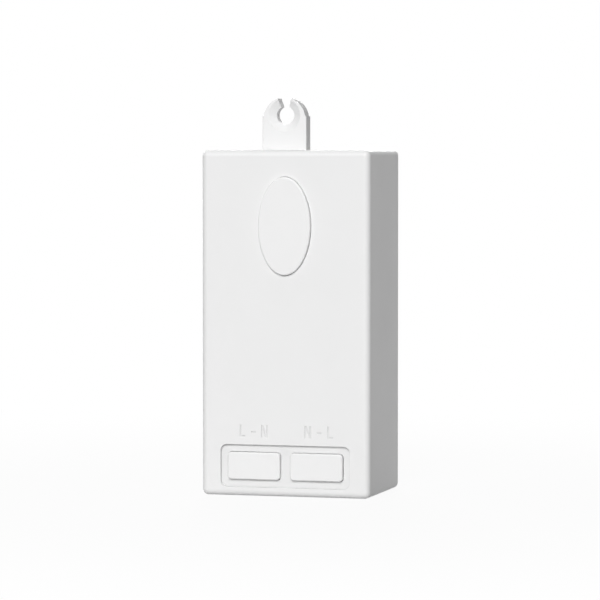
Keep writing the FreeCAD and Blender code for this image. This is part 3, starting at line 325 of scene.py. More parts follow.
def laminate(name, colour):
    """Board laminate: solder mask over copper runs and glass weave, bare weave at the cut edges."""
    finish = Finish(name, colour)
    patch = finish.add(
        "ShaderNodeTexVoronoi", {"distance": "CHEBYCHEV"},
        {"Vector": finish.place, "Scale": 1 / (9 * MM), "Randomness": 0.85}, output="Color",
    )
    kind = finish.add("ShaderNodeSeparateColor", {}, {"Color": patch}, output="Red")
    tracks, thread = {"pitch": 1.1 * MM, "width": 0.4 * MM}, {"pitch": 0.5 * MM, "width": 0.25 * MM}
    across_below, pour_below, upright_above = 0.38, 0.52, 0.72
    across = finish.lines("Z", **tracks) * (kind < across_below)
    upright = finish.lines("X", **tracks) * (kind > upright_above)
    pour = (kind > across_below) * (kind < pour_below)
    copper = across + upright + pour
    from_hole = finish.add(
        "ShaderNodeTexVoronoi", {}, {"Vector": finish.place, "Scale": 1 / (4.5 * MM)}, output="Distance"
    )
    hole_reach = 0.07
    weave = finish.lines("X", **thread) * finish.lines("Z", **thread)
    edge = abs(finish.facing("Y")) < 0.5
    tin, bare_weave = (0.6, 0.58, 0.5), (0.62, 0.58, 0.36)
    finish.tint(weave, shade(colour, 0.8), share=0.12)
    finish.tint(copper, shade(colour, 1.35), share=0.6)
    finish.tint(from_hole < hole_reach, tin)
    finish.tint(edge, bare_weave)
    finish.sheen_spread(weave + edge, amount=0.16)
    finish.relief(copper * 0.8 + weave * 0.2, depth=0.03 * MM)
    return finish


def wound_wire(name, colour):
    """Enamelled copper wire: bright lacquer over copper that varies along each turn."""
    finish = Finish(name, colour, **{"Metallic": 0.85, "Coat Roughness": 0.1, "Coat IOR": 1.55})
    cloud = finish.noise(0.9 * MM, detail=3.0)
    finish.tint(finish.step(cloud, low=0.45, high=0.75), shade(colour, 0.6), share=0.7)
    finish.put(finish.shader, {"Coat Weight": 0.4 + 0.4 * cloud})
    finish.relief(finish.noise(0.3 * MM), depth=0.004 * MM)
    return finish


def lapped_tape(name, colour):
    """Polyester tape: glossy film with fine creases and darker laps."""
    finish = Finish(name, colour, **{"Specular IOR Level": 0.55})
    crease = finish.noise(1.6 * MM, detail=4.0, along=finish.stretched((0.25, 0.25, 1.0)))
    finish.tint(finish.step(crease, low=0.5, high=0.8), shade(colour, 0.72), share=0.5)
    finish.sheen_spread(crease, amount=0.12)
    finish.relief(crease, depth=0.05 * MM)
    return finish


def fired(name, colour, speck):
    """Fired or pressed powder: matt body with specks and small pits."""
    finish = Finish(name, colour)
    pits = finish.add(
        "ShaderNodeTexVoronoi", {}, {"Vector": finish.place, "Scale": 1 / (0.35 * MM)}, output="Distance"
    )
    specks = finish.step(finish.noise(0.5 * MM, detail=4.0), low=0.55, high=0.7)
    finish.tint(specks, speck, share=0.6)
    finish.sheen_spread(pits, amount=0.15)
    finish.relief(pits, depth=0.015 * MM)
    return finish


def dipped(name, colour):
    """Dipped epoxy: thick glossy coat with slow waves and a few pinholes."""
    finish = Finish(name, colour, **{"Coat Roughness": 0.08})
    wave = finish.noise(1.8 * MM)
    pinholes = finish.step(finish.noise(0.3 * MM, detail=1.0), low=0.68, high=0.74)
    finish.tint(wave, shade(colour, 0.7), share=0.5)
    finish.put(finish.shader, {"Coat Weight": 0.7 - 0.4 * pinholes})
    finish.relief(wave - 0.1 * pinholes, depth=0.12 * MM)
    return finish


def banded_resistor(name, colour):
    """Ceramic resistor body with four painted rings."""
    finish = fired(name, colour, shade(colour, 0.85))
    low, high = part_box("fusible_resistor")
    middle, reach = (low.x + high.x) / 2, high.x - low.x
    along, half_ring = finish.axis("X"), 0.35 * MM
    brown, black, gold = (0.35, 0.16, 0.05), (0.02, 0.02, 0.02), (0.7, 0.5, 0.1)
    rings = ((-0.28, brown), (-0.12, black), (0.04, black), (0.3, gold))
    for share, paint in rings:
        finish.tint(abs(along - (middle + share * reach)) < half_ring, paint)
    return finish


def sleeved(name, colour, stripe):
    """Shrink sleeve of a capacitor: satin film with a pale stripe down its left side."""
    finish = Finish(name, colour)
    wrinkle = finish.noise(1.5 * MM, detail=3.0, along=finish.stretched((1.0, 0.3, 1.0)))
    left_side = finish.facing("X") < -0.93
    finish.tint(left_side, stripe)
    finish.sheen_spread(wrinkle, amount=0.15)
    finish.relief(wrinkle, depth=0.03 * MM)
    return finish


def bare_leads(finish, mask, colour):
    """Tinned metal in place of plastic where the mask is 1."""
    finish.tint(mask, colour)
    finish.put(finish.shader, {"Metallic": mask})


def beside_front(finish, name):
    """1 to the left and right of a node's front face, where a chip's leads stand out."""
    points = [vertex.co for vertex in frame["nodes"][name].data.vertices]
    front = min(point.y for point in points) + FACE_NEAR
    across = [point.x for point in points if point.y < front]
    low, high = min(across), max(across)
    gap = 0.05 * MM
    return abs(finish.axis("X") - (low + high) / 2) > (high - low) / 2 + gap


def behind_board_front(finish):
    """1 behind the main board's front face, where a part's leads go through."""
    return finish.axis("Y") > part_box("main_board")[0].y


# Helpers that dress CAD nodes and make pieces
def dress(finish, *names):
    """Gives CAD nodes a finish through their material slots."""
    for name in names:
        for holder in frame["nodes"][name].material_slots:
            holder.material = finish.material


def new_piece(name, shape, finish):
    """Makes a piece from a bmesh, smooth with sharp corners, that stays with the housing."""
    bmesh.ops.recalc_face_normals(shape, faces=shape.faces)
    mesh = bpy.data.meshes.new(name)
    shape.to_mesh(mesh)
    shape.free()
    mesh.materials.append(finish.material)
    mesh.shade_smooth()
    mesh.set_sharp_from_angle(angle=SHARP_ANGLE)
    piece = bpy.data.objects.new(name, mesh)
    bpy.context.scene.collection.objects.link(piece)
    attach(piece, "root")
    return piece


def skin(shape, rings, closed=False):
    """Joins rings of points with faces, as a closed loop or with a cap at each end."""
    rows = [[shape.verts.new(point) for point in ring] for ring in rings]
    pairs = list(zip(rows, rows[1:]))
    if closed:
        pairs.append((rows[-1], rows[0]))
    for lower, upper in pairs:
        for index in range(len(lower)):
            after = (index + 1) % len(lower)
            shape.faces.new((lower[index], lower[after], upper[after], upper[index]))
    if not closed:
        shape.faces.new(rows[0])
        shape.faces.new(rows[-1])


def turn_round(steps):
    """Angles of evenly spaced steps round a circle."""
    return [TURN * step / steps for step in range(steps)]


def wind(shape, stations, axis, radius, sides=WIRE_SIDES):
    """A wire through stations, each a point and the way out from the coil's axis."""
    skin(shape, [
        [point + radius * (math.cos(turn) * out + math.sin(turn) * axis) for turn in turn_round(sides)]
        for point, out in stations
    ])


def turned_about_y(middle, radius_x, radius_z, y, steps=ROUND_STEPS):
    """A ring of points round a line along Y."""
    return [
        Vector((middle.x + radius_x * math.cos(turn), y, middle.z + radius_z * math.sin(turn)))
        for turn in turn_round(steps)
    ]


def rounded_loop(middle, half_width, half_depth, corner, z):
    """Points and outward ways round an upright block's section with round corners."""
    loop = []
    for quarter, (side, rear) in enumerate(((1, 1), (-1, 1), (-1, -1), (1, -1))):
        for step in range(CORNER_STEPS + 1):
            turn = TURN / 4 * (quarter + step / CORNER_STEPS)
            out = Vector((math.cos(turn), math.sin(turn), 0))
            heel = Vector((side * (half_width - corner), rear * (half_depth - corner), 0))
            loop.append((Vector((middle.x, middle.y, z)) + heel + corner * out, out))
    return loop


def lead_ends(names, reach, front=False):
    """Middle and half sizes of each lead where it ends, from the CAD nodes' own corners."""
    ends = []
    for name in names:
        points = [vertex.co for vertex in frame["nodes"][name].data.vertices]
        edge = min(point.y for point in points) if front else max(point.y for point in points)
        left = [point for point in points if abs(point.y - edge) < FACE_NEAR]
        left.sort(key=lambda point: point.x)
        while left:
            first = left[0]
            near = [point for point in left if (point - first).length < reach]
            left = [point for point in left if (point - first).length >= reach]
            low = Vector(min(point[axis] for point in near) for axis in range(3))
            high = Vector(max(point[axis] for point in near) for axis in range(3))
            ends.append(((low + high) / 2, (high - low) / 2))
    return ends


def sprung_copy(name, node, joint, finish):
    """A copy of a springy CAD node that takes its place; its joint's travel is looked up, but the copy does not
    give way with it.
    """
    low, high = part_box(node)
    travel = next(entry["range_m"][1] for entry in frame["joints"] if entry["name"] == joint)
    shape = bmesh.new()
    shape.from_mesh(frame["nodes"][node].data)
    bmesh.ops.remove_doubles(shape, verts=shape.verts, dist=WELD_NEAR)
    piece = new_piece(name, shape, finish)
    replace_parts(piece, node)
    1 - travel / (high.y - low.y)
    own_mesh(piece)


# Fine trim
def relay_turns(wire, finish):
    """The relay's winding as real turns of wire on a wound core."""
    low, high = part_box("relay_winding")
    middle = (low + high) / 2
    radius = (high.x - low.x) / 2 - wire / 2
    span = high.y - low.y - wire
    steps = COIL_STEPS * round(span / wire)
    axis = Vector((0, 1, 0))
    start = Vector((middle.x, low.y + wire / 2, middle.z))
    stations = []
    for step in range(steps + 1):
        turn = TURN * step / COIL_STEPS
        out = Vector((math.cos(turn), 0, math.sin(turn)))
        stations.append((start + radius * out + span * step / steps * axis, out))
    shape = bmesh.new()
    wind(shape, stations, axis, wire / 2)
    bore = (high.x - low.x) / 4
    skin(shape, [
        turned_about_y(middle, reach, reach, y, COIL_STEPS)
        for reach, y in ((bore, low.y), (radius, low.y), (radius, high.y), (bore, high.y))
    ], closed=True)
    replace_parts(new_piece("relay_turns", shape, finish), "relay_winding")


def transformer_turns(wire, tape, copper, film):
    """The transformer's winding as turns of wire under a band of tape."""
    low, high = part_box("transformer_winding")
    middle = (low + high) / 2
    width, depth = (high.x - low.x) / 2 - tape, (high.y - low.y) / 2 - tape
    span = high.z - low.z - wire
    corner, wall, margin = 1.2 * MM, 1.5 * MM, 0.16 * (high.z - low.z)
    loop = rounded_loop(middle, width - wire / 2, depth - wire / 2, corner, low.z + wire / 2)
    steps = len(loop) * round(span / wire)
    stations = []
    for step in range(steps + 1):
        point, out = loop[step % len(loop)]
        stations.append((point + Vector((0, 0, span * step / steps)), out))
    shape = bmesh.new()
    wind(shape, stations, Vector((0, 0, 1)), wire / 2)
    skin(shape, [
        [point for point, _ in rounded_loop(middle, width - inset, depth - inset, corner, z)]
        for inset, z in ((wall, low.z), (wire / 2, low.z), (wire / 2, high.z), (wall, high.z))
    ], closed=True)
    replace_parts(new_piece("transformer_turns", shape, copper), "transformer_winding")

    shape = bmesh.new()
    foot, head = low.z + margin, high.z - margin
    skin(shape, [
        [point for point, _ in rounded_loop(middle, width + grow, depth + grow, corner, z)]
        for grow, z in ((0, foot), (tape, foot), (tape, head), (0, head))
    ], closed=True)
    new_piece("transformer_tape", shape, film)


def solder_joints(collar, height, finish):
    """A hollow-sided cone of solder round every lead that comes through a board."""
    behind = lead_ends(ROUND_LEADED, LEAD_APART) + lead_ends(STRIP_LEADED, STRIP_APART)
    faces = [(behind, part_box("main_board")[1].y, 1)]
    faces.append((lead_ends(("link_pins",), LEAD_APART, front=True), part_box("control_board")[0].y, -1))
    # How hollow a cone's side is, how far it clears its lead at the tip, and how far it grows with the lead
    hollow, clear, grow = 2.4, 0.03 * MM, 1.25
    shape = bmesh.new()
    for ends, face, way in faces:
        for middle, half in ends:
            rings = []
            for share in (0.0, 0.12, 0.3, 0.55, 0.8, 1.0):
                spread = collar * (1 - share) ** hollow + clear
                reach_x, reach_z = grow * half.x + spread, grow * half.z + spread
                rings.append(turned_about_y(middle, reach_x, reach_z, face + way * height * share))
            skin(shape, rings)
    new_piece("solder_joints", shape, finish)


def screw_threads(pitch, rise, finish):
    """A rolled thread up the shank of each housing screw."""
    shape = bmesh.new()
    axis = Vector((0, 1, 0))
    turns, fade_turns, tip = 9, 1.5, 0.4 * MM
    for middle, half in lead_ends(("housing_screws",), SCREW_APART, front=True):
        stations = []
        for step in range(THREAD_STEPS * turns + 1):
            done = step / THREAD_STEPS
            out = Vector((math.cos(TURN * done), 0, math.sin(TURN * done)))
            fade = min(1.0, done / fade_turns)
            along = tip + pitch * done
            stations.append((middle + along * axis + (half.x - rise + fade * rise) * out, out))
        wind(shape, stations, axis, rise, sides=4)
    new_piece("screw_threads", shape, finish)


def print_line(shape, start, end, face, width):
    """A thin raised line of print between two points (x, z) on a face that looks forward."""
    first, last = Vector((start[0], face, start[1])), Vector((end[0], face, end[1]))
    along = (last - first).normalized() * width / 2
    side = Vector((along.z, 0, -along.x))
    corners = (first - along + side, first - along - side, last + along - side, last + along + side)
    skin(shape, [[corner - Vector((0, lift, 0)) for corner in corners] for lift in (0.0, PRINT_HEIGHT)])


def print_frame(shape, low, high, face, width):
    """Four lines of print round a rectangle given by its corners (x, z)."""
    corners = (low, (high[0], low[1]), high, (low[0], high[1]))
    for index, corner in enumerate(corners):
        print_line(shape, corner, corners[(index + 1) % len(corners)], face, width)


def board_legend(line, finish):
    """Thin printed frames round the main parts of both boards."""
    shape = bmesh.new()
    gap = 0.4 * MM
    for board, names in LEGEND.items():
        for name in names:
            low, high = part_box(name)
            print_frame(
                shape, (low.x - gap, low.z - gap), (high.x + gap, high.z + gap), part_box(board)[0].y, line
            )
    new_piece("board_legend", shape, finish)


def relay_print(line, finish):
    """A plain circuit diagram of a coil and a contact, printed on the relay's case."""
    low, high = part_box("relay_case")
    width, height = high.x - low.x, high.z - low.z

    def at(across, up):
        return low.x + across * width, low.z + up * height

    shape = bmesh.new()
    print_frame(shape, at(0.08, 0.07), at(0.92, 0.93), low.y, line)
    print_frame(shape, at(0.2, 0.42), at(0.42, 0.56), low.y, line)
    for start, end in (
        ((0.31, 0.56), (0.31, 0.78)), ((0.31, 0.42), (0.31, 0.2)), ((0.2, 0.42), (0.42, 0.56)),
        ((0.68, 0.2), (0.68, 0.4)), ((0.68, 0.4), (0.58, 0.58)), ((0.68, 0.6), (0.68, 0.78)),
        ((0.42, 0.49), (0.62, 0.49)),
    ):
        print_line(shape, at(*start), at(*end), low.y, line)
    new_piece("relay_print", shape, finish)


def chip_dots(radius, finish):
    """A moulded dot beside the first lead of each chip."""
    across, down, top_share = 0.3, 0.16, 0.85
    shape = bmesh.new()
    for name in ("supply_chip", "microcontroller", "radio_chip", "relay_driver"):
        low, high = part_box(name)
        middle = Vector((low.x + across * (high.x - low.x), low.y, high.z - down * (high.z - low.z)))
        rings = []
        for reach, lift in ((radius, 0.0), (radius, PRINT_HEIGHT / 2), (top_share * radius, PRINT_HEIGHT)):
            rings.append(turned_about_y(middle, reach, reach, low.y - lift))
        skin(shape, rings)
    new_piece("chip_dots", shape, finish)


def can_tops(finish):
    """The bare aluminium end of each can, scored in three so that it can vent."""
    # Reach beside the can's radius, and in turns the half width of a score and the sweep of a sector
    share, score, sweep = 0.86, 0.025, 0.2833
    sectors, steps, hub_share, thickness = 3, 12, 0.1, 0.06 * MM
    shape = bmesh.new()
    for name in ("reservoir_capacitor", "output_capacitor"):
        low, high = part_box(name)
        middle = (low + high) / 2
        radius = share * (high.x - low.x) / 2
        for start in turn_round(sectors):
            turns = [start + TURN * (score + sweep * step / steps) for step in range(steps + 1)]
            hub, reach = start + TURN / sectors / 2, hub_share * radius
            outline = [(reach * math.cos(hub), reach * math.sin(hub))]
            outline += [(radius * math.cos(turn), radius * math.sin(turn)) for turn in turns]
            skin(shape, [
                [Vector((middle.x + x, low.y - lift, middle.z + z)) for x, z in outline]
                for lift in (0.0, thickness)
            ])
    new_piece("can_tops", shape, finish)


def led_dome(finish):
    """The clear lens over the status light."""
    low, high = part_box("status_led")
    middle = (low + high) / 2
    width_share, rise_share = 0.42, 0.7
    radius = width_share * (high.z - low.z)
    shape = bmesh.new()
    rings = []
    for share in (0, 0.2, 0.4, 0.6, 0.8, 0.95):
        lean = share * TURN / 4
        reach = radius * math.cos(lean)
        rings.append(turned_about_y(middle, reach, reach, low.y - rise_share * radius * math.sin(lean)))
    skin(shape, rings)
    new_piece("led_dome", shape, finish)


ROUND_LEADED = (
    "relay_pins", "transformer_pins", "fusible_resistor_leads", "varistor", "film_capacitor",
    "reservoir_capacitor", "output_capacitor", "link_pins",
)
STRIP_LEADED = ("input_contact_strips", "output_contact_strips")
LEGEND = {
    "main_board": (
        "relay_case", "transformer_core", "film_capacitor", "fusible_resistor", "reservoir_capacitor",
        "output_capacitor", "bridge_rectifier", "supply_chip", "flyback_diode", "relay_driver",
    ),
    "control_board": ("tact_base", "microcontroller", "radio_chip", "crystal"),
}


# Stage
def track(item, place, aim):
    """Puts a lamp or camera at a place and turns it to a point."""
    item.location = place
    item.rotation_mode = "QUATERNION"
    item.rotation_quaternion = (Vector(aim) - Vector(place)).to_track_quat("-Z", "Y")
    bpy.context.scene.collection.objects.link(item)


def seen_directly(tree):
    """1 for rays that come from the camera or pass by way of gloss or glass."""
    path = tree.add("ShaderNodeLightPath", {}, {}, output="Is Camera Ray")
    return path + path.output("Is Glossy Ray") + path.output("Is Transmission Ray")


def make_floor(settings):
    shape = bmesh.new()
    bmesh.ops.create_circle(shape, cap_ends=True, segments=FLOOR_SIDES, radius=settings.floor_radius)
    mesh = bpy.data.meshes.new("floor")
    shape.to_mesh(mesh)
    shape.free()
    paper = Finish("floor_paper", settings.floor_colour, **{"Specular IOR Level": 0.1})
    paper.relief(paper.noise(2 * MM), depth=0.02 * MM)
    away = paper.add("ShaderNodeVectorMath", {"operation": "LENGTH"}, {0: paper.place}, output="Value")
    plain = paper.step(away, settings.shadow_near, settings.shadow_far)
    share = (1 - settings.shadow_share) + settings.shadow_share * plain
    glow = paper.add("ShaderNodeEmission", {}, {"Color": (1, 1, 1, 1), "Strength": 1.0})
    lit = Signal(paper, paper.shader.outputs["BSDF"])
    shown = paper.add("ShaderNodeMixShader", {}, {0: seen_directly(paper) * share, 1: lit, 2: glow})
    paper.put(paper.nodes["Material Output"], {"Surface": shown})
    mesh.materials.append(paper.material)
    floor = bpy.data.objects.new("floor", mesh)
    floor.location.z = -settings.floor_drop
    bpy.context.scene.collection.objects.link(floor)


def make_world(settings):
    world = bpy.data.worlds.new("studio")
    bpy.context.scene.world = world
    tree = Nodes(world)
    white = tree.add("ShaderNodeBackground", {}, {"Color": (1, 1, 1, 1), "Strength": 1.0})
    level = settings.room_level
    room = tree.add("ShaderNodeBackground", {}, {"Color": (1, 1, 1, 1), "Strength": level})
    shown = tree.add("ShaderNodeMixShader", {}, {0: seen_directly(tree), 1: room, 2: white})
    tree.put(tree.nodes["World Output"], {"Surface": shown})


def make_lamp(name, way, spread, level):
    """A far soft lamp; its way is given to the right of the front and above the floor."""
    light = bpy.data.lights.new(name, "SUN")
    light.energy = level
    light.angle = spread
    aside, above = way
    place = Vector((math.sin(aside) * math.cos(above), -math.cos(aside) * math.cos(above), math.sin(above)))
    track(bpy.data.objects.new(name, light), place, (0, 0, 0))


def make_camera(settings):
    camera = bpy.data.objects.new("camera", bpy.data.cameras.new("camera"))
    camera.data.lens = settings.lens
    camera.data.sensor_width = settings.sensor
    camera.data.clip_start = settings.nearest
    track(camera, settings.camera_place, settings.camera_aim)
    bpy.context.scene.camera = camera


# Sizes and colours that a user can change
def slot_colour(slot):
    for entry in frame["record"]["materials"]:
        if entry["slot"] == slot:
            return tuple(entry["base_color"])
    raise RuntimeError("the record has no slot " + slot)


def colour(label, default, description="Colour of this finish"):
    return bpy.props.FloatVectorProperty(
        name=label, description=description, default=default, subtype="COLOR", min=0.0, max=1.0
    )


def length(label, description, millimetres):
    return bpy.props.FloatProperty(
        name=label, description=description, default=millimetres * MM, subtype="DISTANCE", unit="LENGTH"
    )


def number(label, description, default):
    return bpy.props.FloatProperty(name=label, description=description, default=default, min=0.0)


def direction(label, description, default):
    """A way to a lamp: degrees to the right of the front, and degrees above the floor."""
    return bpy.props.FloatVectorProperty(
        name=label, description=description, size=2, subtype="NONE", unit="ROTATION",
        default=tuple(math.radians(part) for part in default),
    )


def point(label, description, default):
    return bpy.props.FloatVectorProperty(
        name=label, description=description, default=default,
        subtype="TRANSLATION", unit="LENGTH", precision=5,
    )


class ReceiverColours(bpy.types.PropertyGroup):
    housing: colour("Housing", slot_colour("housing_plastic"))
    # The rear cover is the housing's white plastic, given a darker colour as painted shade against the light that
    # the housing's top throws onto the hang tab
    cover: colour("Rear cover", (0.81, 0.81, 0.81))
    keys: colour("Keys", slot_colour("key_plastic"))
    screws: colour("Screws", slot_colour("screw_zinc"))
    boards: colour("Boards", slot_colour("board_laminate"))
    terminals: colour("Terminal blocks", slot_colour("terminal_plastic"))
    tinned: colour("Tinned metal", slot_colour("tinned_brass"))
    springs: colour("Spring steel", slot_colour("spring_steel"))
    relay_case: colour("Relay case", slot_colour("relay_case_plastic"))
    mouldings: colour("Black mouldings", slot_colour("moulded_black"))
    iron: colour("Soft iron", slot_colour("magnetic_iron"))
    ferrite: colour("Ferrite", slot_colour("ferrite"))
    copper: colour("Enamelled copper", slot_colour("copper_winding"))
    tape: colour("Winding tape", slot_colour("winding_tape"))
    resistor: colour("Resistor body", slot_colour("resistor_ceramic"))
    varistor: colour("Varistor coat", slot_colour("varistor_coat"))
    film_case: colour("Film capacitor case", slot_colour("film_case"))
    sleeve: colour("Capacitor sleeve", slot_colour("capacitor_sleeve"))
    stripe: colour("Capacitor stripe", (0.55, 0.57, 0.6))
    nylon: colour("Nylon spacers", slot_colour("nylon"))
    plunger: colour("Switch plunger", slot_colour("plunger_plastic"))
    cans: colour("Bare metal cans", slot_colour("crystal_can"))
    lens: colour("Status light lens", slot_colour("led_lens"))


class ReceiverTrim(bpy.types.PropertyGroup):
    grain: length("Grain size", "Width of the moulded surface's grain", 0.25)
    grain_depth: length("Grain depth", "Height of the moulded surface's grain", 0.002)
    mark_shade: number("Mark shade", "Brightness of the engraved marks beside the housing", 0.88)
    # Painted shade on the pocket's floor and painted shadow in its corners, as brightness against the housing
    pocket_painted_shade: number("Pocket shade", "Brightness of the pocket's floor beside the housing", 0.925)
    corner_painted_shadow: number("Corner shade", "Brightness of the pocket's corners beside the housing", 0.83)
    corner_shadow_width: length("Corner width", "How far in from its walls the pocket's floor is darker", 0.5)
    # Painted shadow in the screws' drive recesses: where it starts, how dark it is and how far it reaches
    recess_shallow: length("Recess depth", "Depth in a screw's head at which its drive recess darkens", 0.1)
    recess_painted_shadow: number("Recess shade", "Brightness of the drive recess beside the screw", 0.3)
    recess_share: number("Recess share", "Reach of the drive recess beside the screw's head", 0.68)
    relay_wire: length("Relay wire", "Thickness of the relay's winding wire", 0.3)
    transformer_wire: length("Transformer wire", "Thickness of the transformer's winding wire", 0.35)
    tape_thickness: length("Tape thickness", "Thickness of the tape round the transformer's winding", 0.06)
    solder_collar: length("Solder collar", "How far solder spreads from a lead", 0.5)
    solder_height: length("Solder height", "How far solder climbs a lead", 0.8)
    thread_pitch: length("Thread pitch", "Distance between the housing screws' threads", 0.95)
    thread_rise: length("Thread height", "Height of the housing screws' threads", 0.14)
    legend_line: length("Legend line", "Width of the printed lines on the boards", 0.15)
    dot_radius: length("Chip dot", "Radius of the dot beside a chip's first lead", 0.22)


class ReceiverStage(bpy.types.PropertyGroup):
    camera_place: point("Camera place", "Where the camera stands", (0.20829, -0.73934, 0.07995))
    camera_aim: point("Camera aim", "The point that the camera looks at", (0.00331, -0.01206, 0.04550))
    lens: bpy.props.FloatProperty(
        name="Lens", description="Focal length of the camera in millimetres", default=197.22, unit="CAMERA"
    )
    sensor: bpy.props.FloatProperty(
        name="Sensor", description="Width of the camera's sensor in millimetres", default=36, unit="CAMERA"
    )
    nearest: length("Nearest", "Nearest distance that the camera shows", 10)
    floor_radius: length("Floor radius", "Radius of the round floor", 4000)
    floor_drop: length("Floor drop", "How far the floor lies under the object", 0.02)
    floor_colour: colour("Floor", (0.5, 0.5, 0.5), "Colour of the floor")
    shadow_share: number("Shadow share", "How much of the object's shadow shows on the floor", 0.06)
    shadow_near: length("Shadow near", "Distance within which the whole share shows", 30)
    shadow_far: length("Shadow far", "Distance from which the floor is plain white", 250)
    room_level: number("Room light", "Brightness of the light from all round", 0.04)
    front_way: direction("Front lamp way", "Way to the main soft lamp", (6, 25))
    front_level: number("Front lamp", "Strength of the main soft lamp", 2.62)
    top_way: direction("Top lamp way", "Way to the soft lamp overhead", (0, 85))
    top_level: number("Top lamp", "Strength of the soft lamp overhead", 0.4)
    rear_way: direction("Rear lamp way", "Way to the soft lamp behind", (200, 12))
    rear_level: number("Rear lamp", "Strength of the soft lamp behind", 2.7)
    lamp_spread: bpy.props.FloatProperty(
        name="Lamp spread", description="How wide each lamp looks from the object",
        default=math.radians(30), subtype="ANGLE", unit="ROTATION",
    )


# One operator for each group of like pieces
class ReceiverOperator(bpy.types.Operator):
    """Shared by the operators below"""

    bl_options = {"REGISTER", "UNDO"}

    def execute(self, context):
        scene = context.scene
        self.build(scene.receiver_colours, scene.receiver_trim)
        return {"FINISHED"}


class RECEIVER_OT_housing(ReceiverOperator):
    """Finish the front housing, its engraved marks and the rear cover"""

    bl_idname = "receiver.housing"
    bl_label = "Housing and cover"

    def build(self, colours, trim):
        shell = moulded("shell_plastic", colours.housing, trim)
        engraved(shell, shade(colours.housing, trim.mark_shade))
        # Painted shade on the pocket's floor and a darker painted shadow along its corners
        pocket_floor_shade_colour = shade(colours.housing, trim.pocket_painted_shade)
        pocket_corner_shadow_colour = shade(colours.housing, trim.corner_painted_shadow)
        paint_pocket_shade(shell, pocket_floor_shade_colour, pocket_corner_shadow_colour, trim.corner_shadow_width)
        dress(shell, "front_housing")
        # The rear cover takes the darker painted-shade colour of the housing's plastic
        dress(moulded("cover_plastic_painted_shade", colours.cover, trim), "rear_cover")


class RECEIVER_OT_keys(ReceiverOperator):
    """Finish the oval key and the two terminal keys"""

    bl_idname = "receiver.keys"
    bl_label = "Keys"

    def build(self, colours, trim):
        dress(moulded("key_plastic", colours.keys, trim), "oval_key", "input_key", "output_key")


class RECEIVER_OT_screws(ReceiverOperator):
    """Finish the housing screws and cut their threads"""

    bl_idname = "receiver.screws"
    bl_label = "Housing screws"

    def build(self, colours, trim):
        zinc = plated("screw_zinc", colours.screws, lay=(1, 6, 1))
        # Painted shadow in each screw's drive recess
        recess_shadow_colour = shade(colours.screws, trim.recess_painted_shadow)
        heads = lead_ends(("housing_screws",), SCREW_APART)
        paint_recess_shadow(zinc, heads, trim.recess_shallow, trim.recess_share, recess_shadow_colour)
        dress(zinc, "housing_screws")
        screw_threads(trim.thread_pitch, trim.thread_rise, zinc)


class RECEIVER_OT_boards(ReceiverOperator):
    """Finish the boards, print their legend and solder their leads"""

    bl_idname = "receiver.boards"
    bl_label = "Boards and solder"

    def build(self, colours, trim):
        dress(laminate("board_laminate", colours.boards), "main_board", "control_board")
        board_legend(trim.legend_line, moulded("legend_print", colours.nylon, trim))
        solder = plated("solder", shade(colours.tinned, 0.95))
        solder_joints(trim.solder_collar, trim.solder_height, solder)


class RECEIVER_OT_terminals(ReceiverOperator):
    """Finish the terminal blocks, their contact strips and clamp springs"""

    bl_idname = "receiver.terminals"
    bl_label = "Terminals"

    def build(self, colours, trim):
        block = moulded("terminal_plastic", colours.terminals, trim, coarse=1.6, deep=3)
        dress(block, "input_terminal_block", "output_terminal_block")
        strip = plated("tinned_brass", colours.tinned, lay=(1, 1, 0.1))
        dress(strip, "input_contact_strips", "output_contact_strips")
        spring = plated("spring_steel", colours.springs, lay=(1, 0.1, 0.1))
        sprung_copy("input_clamp_leaves", "input_clamp_springs", "input_key_press", spring)
        sprung_copy("output_clamp_leaves", "output_clamp_springs", "output_key_press", spring)


class RECEIVER_OT_relay(ReceiverOperator):
    """Finish the relay's pieces and wind its coil"""

    bl_idname = "receiver.relay"
    bl_label = "Relay"

    def build(self, colours, trim):
        dress(moulded("relay_case_plastic", colours.relay_case, trim), "relay_case")
        dress(moulded("relay_black", colours.mouldings, trim, deep=2), "relay_base", "relay_bobbin")
        iron = plated("magnetic_iron", colours.iron, lay=(1, 0.15, 1))
        dress(iron, "relay_yoke", "relay_core", "relay_armature")
        contact = plated("relay_contacts", colours.tinned, lay=(1, 1, 0.15))
        dress(contact, "relay_pins", "relay_contact_leaf", "relay_fixed_contact")
        relay_turns(trim.relay_wire, wound_wire("relay_copper", colours.copper))
        relay_print(trim.legend_line, moulded("relay_ink", colours.nylon, trim))


class RECEIVER_OT_transformer(ReceiverOperator):
    """Finish the transformer's pieces and wind it"""

    bl_idname = "receiver.transformer"
    bl_label = "Transformer"

    def build(self, colours, trim):
        dress(fired("ferrite", colours.ferrite, shade(colours.ferrite, 2.2)), "transformer_core")
        former = moulded("former_plastic", colours.mouldings, trim, coarse=1.4, deep=2)
        dress(former, "transformer_bobbin")
        dress(plated("transformer_tin", colours.tinned, lay=(1, 0.2, 1)), "transformer_pins")
        copper = wound_wire("transformer_copper", colours.copper)
        film = lapped_tape("winding_tape", colours.tape)
        transformer_turns(trim.transformer_wire, trim.tape_thickness, copper, film)


class RECEIVER_OT_power_parts(ReceiverOperator):
    """Finish the small power parts of the main board"""

    bl_idname = "receiver.power_parts"
    bl_label = "Power parts"

    def build(self, colours, trim):
        dress(banded_resistor("resistor_ceramic", colours.resistor), "fusible_resistor")
        dress(plated("lead_tin", colours.tinned, lay=(0.2, 1, 1)), "fusible_resistor_leads")
        coat = dipped("varistor_coat", colours.varistor)
        dress(coat, "varistor")
        case = moulded("film_case", colours.film_case, trim, coarse=2, deep=2)
        dress(case, "film_capacitor")
        sleeve = sleeved("capacitor_sleeve", colours.sleeve, colours.stripe)
        dress(sleeve, "reservoir_capacitor", "output_capacitor")
        for finish in (coat, case, sleeve):
            bare_leads(finish, behind_board_front(finish), colours.tinned)
        can_tops(plated("can_aluminium", colours.cans))


